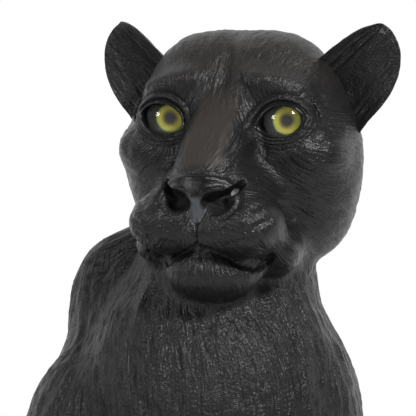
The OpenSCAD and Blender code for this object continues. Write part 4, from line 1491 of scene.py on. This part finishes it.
# ---------------------------------------------------------------- studio
@dataclass
class Studio:
    """Camera, lamps, white surroundings and a pale floor that fades out."""

    target: Vec = (0.01008, -0.030, 0.19082)
    distance: float = 1.3
    width: float = 0.26208
    floor_reach: float = 0.52
    key_power: float = 15.0
    fill_power: float = 4.0
    room_light: float = 0.42
    room_seen: float = 0.12

    def build(self) -> None:
        """Sets each part of the studio."""
        self.camera()
        self.lamp("key", (0.62, -0.95, 0.92), 0.20, self.key_power)
        self.lamp("fill", (-0.95, -0.65, 0.55), 0.30, self.fill_power)
        self.surroundings()
        self.floor()
        bpy.context.scene.view_settings.view_transform = "Standard"

    def camera(self) -> None:
        """A long lens straight ahead of the figure's chest and head."""
        data = bpy.data.cameras.new("camera")
        data.sensor_width = 36.0
        data.lens = data.sensor_width * self.distance / self.width
        camera = bpy.data.objects.new("camera", data)
        camera.location = Vector(self.target) - Vector((0, self.distance, 0))
        camera.rotation_euler = (math.pi / 2, 0, 0)
        bpy.context.scene.collection.objects.link(camera)
        bpy.context.scene.camera = camera

    def lamp(self, name: str, place: Vec, size: float, power: float) -> None:
        """A square soft light aimed at the head."""
        data = bpy.data.lights.new(name, "AREA")
        data.size, data.energy = size, power
        lamp = bpy.data.objects.new(name, data)
        lamp.location = place
        aim = Vector(self.target) - Vector(place)
        lamp.rotation_euler = aim.to_track_quat("-Z", "Y").to_euler()
        bpy.context.scene.collection.objects.link(lamp)

    def surroundings(self) -> None:
        """White to the camera and to glass, and behind the lamp to reflections; dimmer in front."""
        world = bpy.data.worlds.new("surroundings")
        bpy.context.scene.world = world
        world.use_nodes = True
        sky = Shader.of_world(world)
        path = {ray: sky.node("ShaderNodeLightPath", {}, {}, f"Is {ray} Ray")
                for ray in ("Camera", "Transmission", "Glossy")}
        behind = sky.node("ShaderNodeSeparateXYZ", {}, {0: sky.place}, "Y").eased(0.1, 0.6)
        white = (path["Camera"] + path["Transmission"] + path["Glossy"] * behind).bounded()
        dim = path["Glossy"] * (self.room_seen - self.room_light) + self.room_light
        background = world.node_tree.nodes["Background"]
        sky.feed(background.inputs[0], (1.0, 1.0, 1.0))
        sky.feed(background.inputs[1], white + (1 - white) * dim)

    def floor(self) -> None:
        """A square of pale floor, clear towards its edge, that keeps the lamp's shadow."""
        reach = self.floor_reach / MM
        corners = np.array([[-reach, -reach, -0.2], [reach, -reach, -0.2],
                            [reach, reach, -0.2], [-reach, reach, -0.2]])
        piece = Piece("floor", corners, np.array([[0, 1, 2, 3]]))
        shader = Shader("floor")
        out = shader.vector("LENGTH", shader.place, output="Value")
        clear = out.eased(self.floor_reach * 0.5, self.floor_reach * 0.98)
        material = shader.finished(Base_Color=(0.86, 0.86, 0.86), Roughness=0.9, Specular_IOR_Level=0.1)
        nodes, links = shader.tree.nodes, shader.tree.links
        mix, through = nodes.new("ShaderNodeMixShader"), nodes.new("ShaderNodeBsdfTransparent")
        links.new(clear.socket, mix.inputs[0])
        links.new(shader.bsdf.outputs[0], mix.inputs[1])
        links.new(through.outputs[0], mix.inputs[2])
        links.new(mix.outputs[0], nodes["Material Output"].inputs[0])
        piece.mesh.materials.append(material)


# ---------------------------------------------------------------- the whole lamp
def finishes() -> dict[str, bpy.types.Material]:
    """Every finish by the record's slot."""
    made = [
        CastFur().material(),
        ClearGlass("eye_glass", (0.97, 0.98, 0.93)).material(),
        ClearGlass("bulb_glass", (0.97, 0.97, 0.95), 1.46).material(),
        Metal("brass", (0.72, 0.52, 0.24), (0.42, 0.29, 0.13)).material(),
        Metal("steel", (0.60, 0.59, 0.57), (0.36, 0.35, 0.33), 0.32).material(),
        Metal("solder", (0.55, 0.54, 0.52), (0.33, 0.33, 0.33), 0.4).material(),
        Metal("tungsten", (0.32, 0.31, 0.30), (0.18, 0.17, 0.17), 0.45).material(),
        Moulded("black_plastic", (0.006, 0.006, 0.006), (0.012, 0.012, 0.012), 0.6).material(),
        Moulded("pupil_paint", (0.002, 0.002, 0.002), (0.004, 0.003, 0.002), 0.3).material(),
        Moulded("fibre", (0.17, 0.11, 0.07), (0.10, 0.065, 0.04), 0.8, 900.0, 0.0003).material(),
        Moulded("phenolic", (0.012, 0.009, 0.007), (0.03, 0.022, 0.016), 0.26).material(),
        Moulded("rubber", (0.012, 0.012, 0.012), (0.026, 0.025, 0.024), 0.7, 700.0, 0.0002).material(),
        Lacquer().material(),
        Felt().material(),
    ]
    return {material["slot"]: material for material in made}


def dress_solids(made: dict[str, bpy.types.Material], eyes: dict[Side, EyePlace]) -> None:
    """Puts the finishes on the solids that stay in view."""
    slots = {part["node"]: part["material_slot"] for part in frame["record"]["subparts"]}
    for name, solid in frame["nodes"].items():
        if solid.hide_render:
            continue
        material = made.get(slots[name])
        if name.startswith("iris"):
            side = Side.LEFT if name.endswith("left") else Side.RIGHT
            low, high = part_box(name)
            pupil_low, pupil_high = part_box(name.replace("iris", "pupil"))
            paint = IrisPaint(tuple((low + high) / 2), eyes[side].axis, (high.z - low.z) / 2,
                              (pupil_high.z - pupil_low.z) / 2)
            material = paint.material(f"iris_paint_{side.name.lower()}")
        solid.data.materials.clear()
        solid.data.materials.append(material)
        log.info("%s: solid kept, %s", name, slots[name])


def main() -> None:
    """Builds the lamp and its studio."""
    logging.basicConfig(level=logging.INFO, format="%(name)s: %(message)s")
    made = finishes()
    figure = Figure()
    relief = Relief(figure)
    eyes = {side: EyePlace(figure, side) for side in Side}
    skin = PantherSkin(figure, relief)
    cast = made["black_cast"]
    skin.build_outside(cast)
    skin.build_inside(cast)
    skin.build_rim(cast)
    for side, place in eyes.items():
        EyeLids(figure, relief, place).build(cast)
        GlassEye(place).build(made["eye_glass"], cast)
        Ear(figure, relief, side).build(cast)
    Base().build(made["lacquered_wood"], made["rubber"])
    BulbAndSocket().build(made)
    dress_solids(made, eyes)
    Studio().build()


if __name__ == "__main__":
    main()
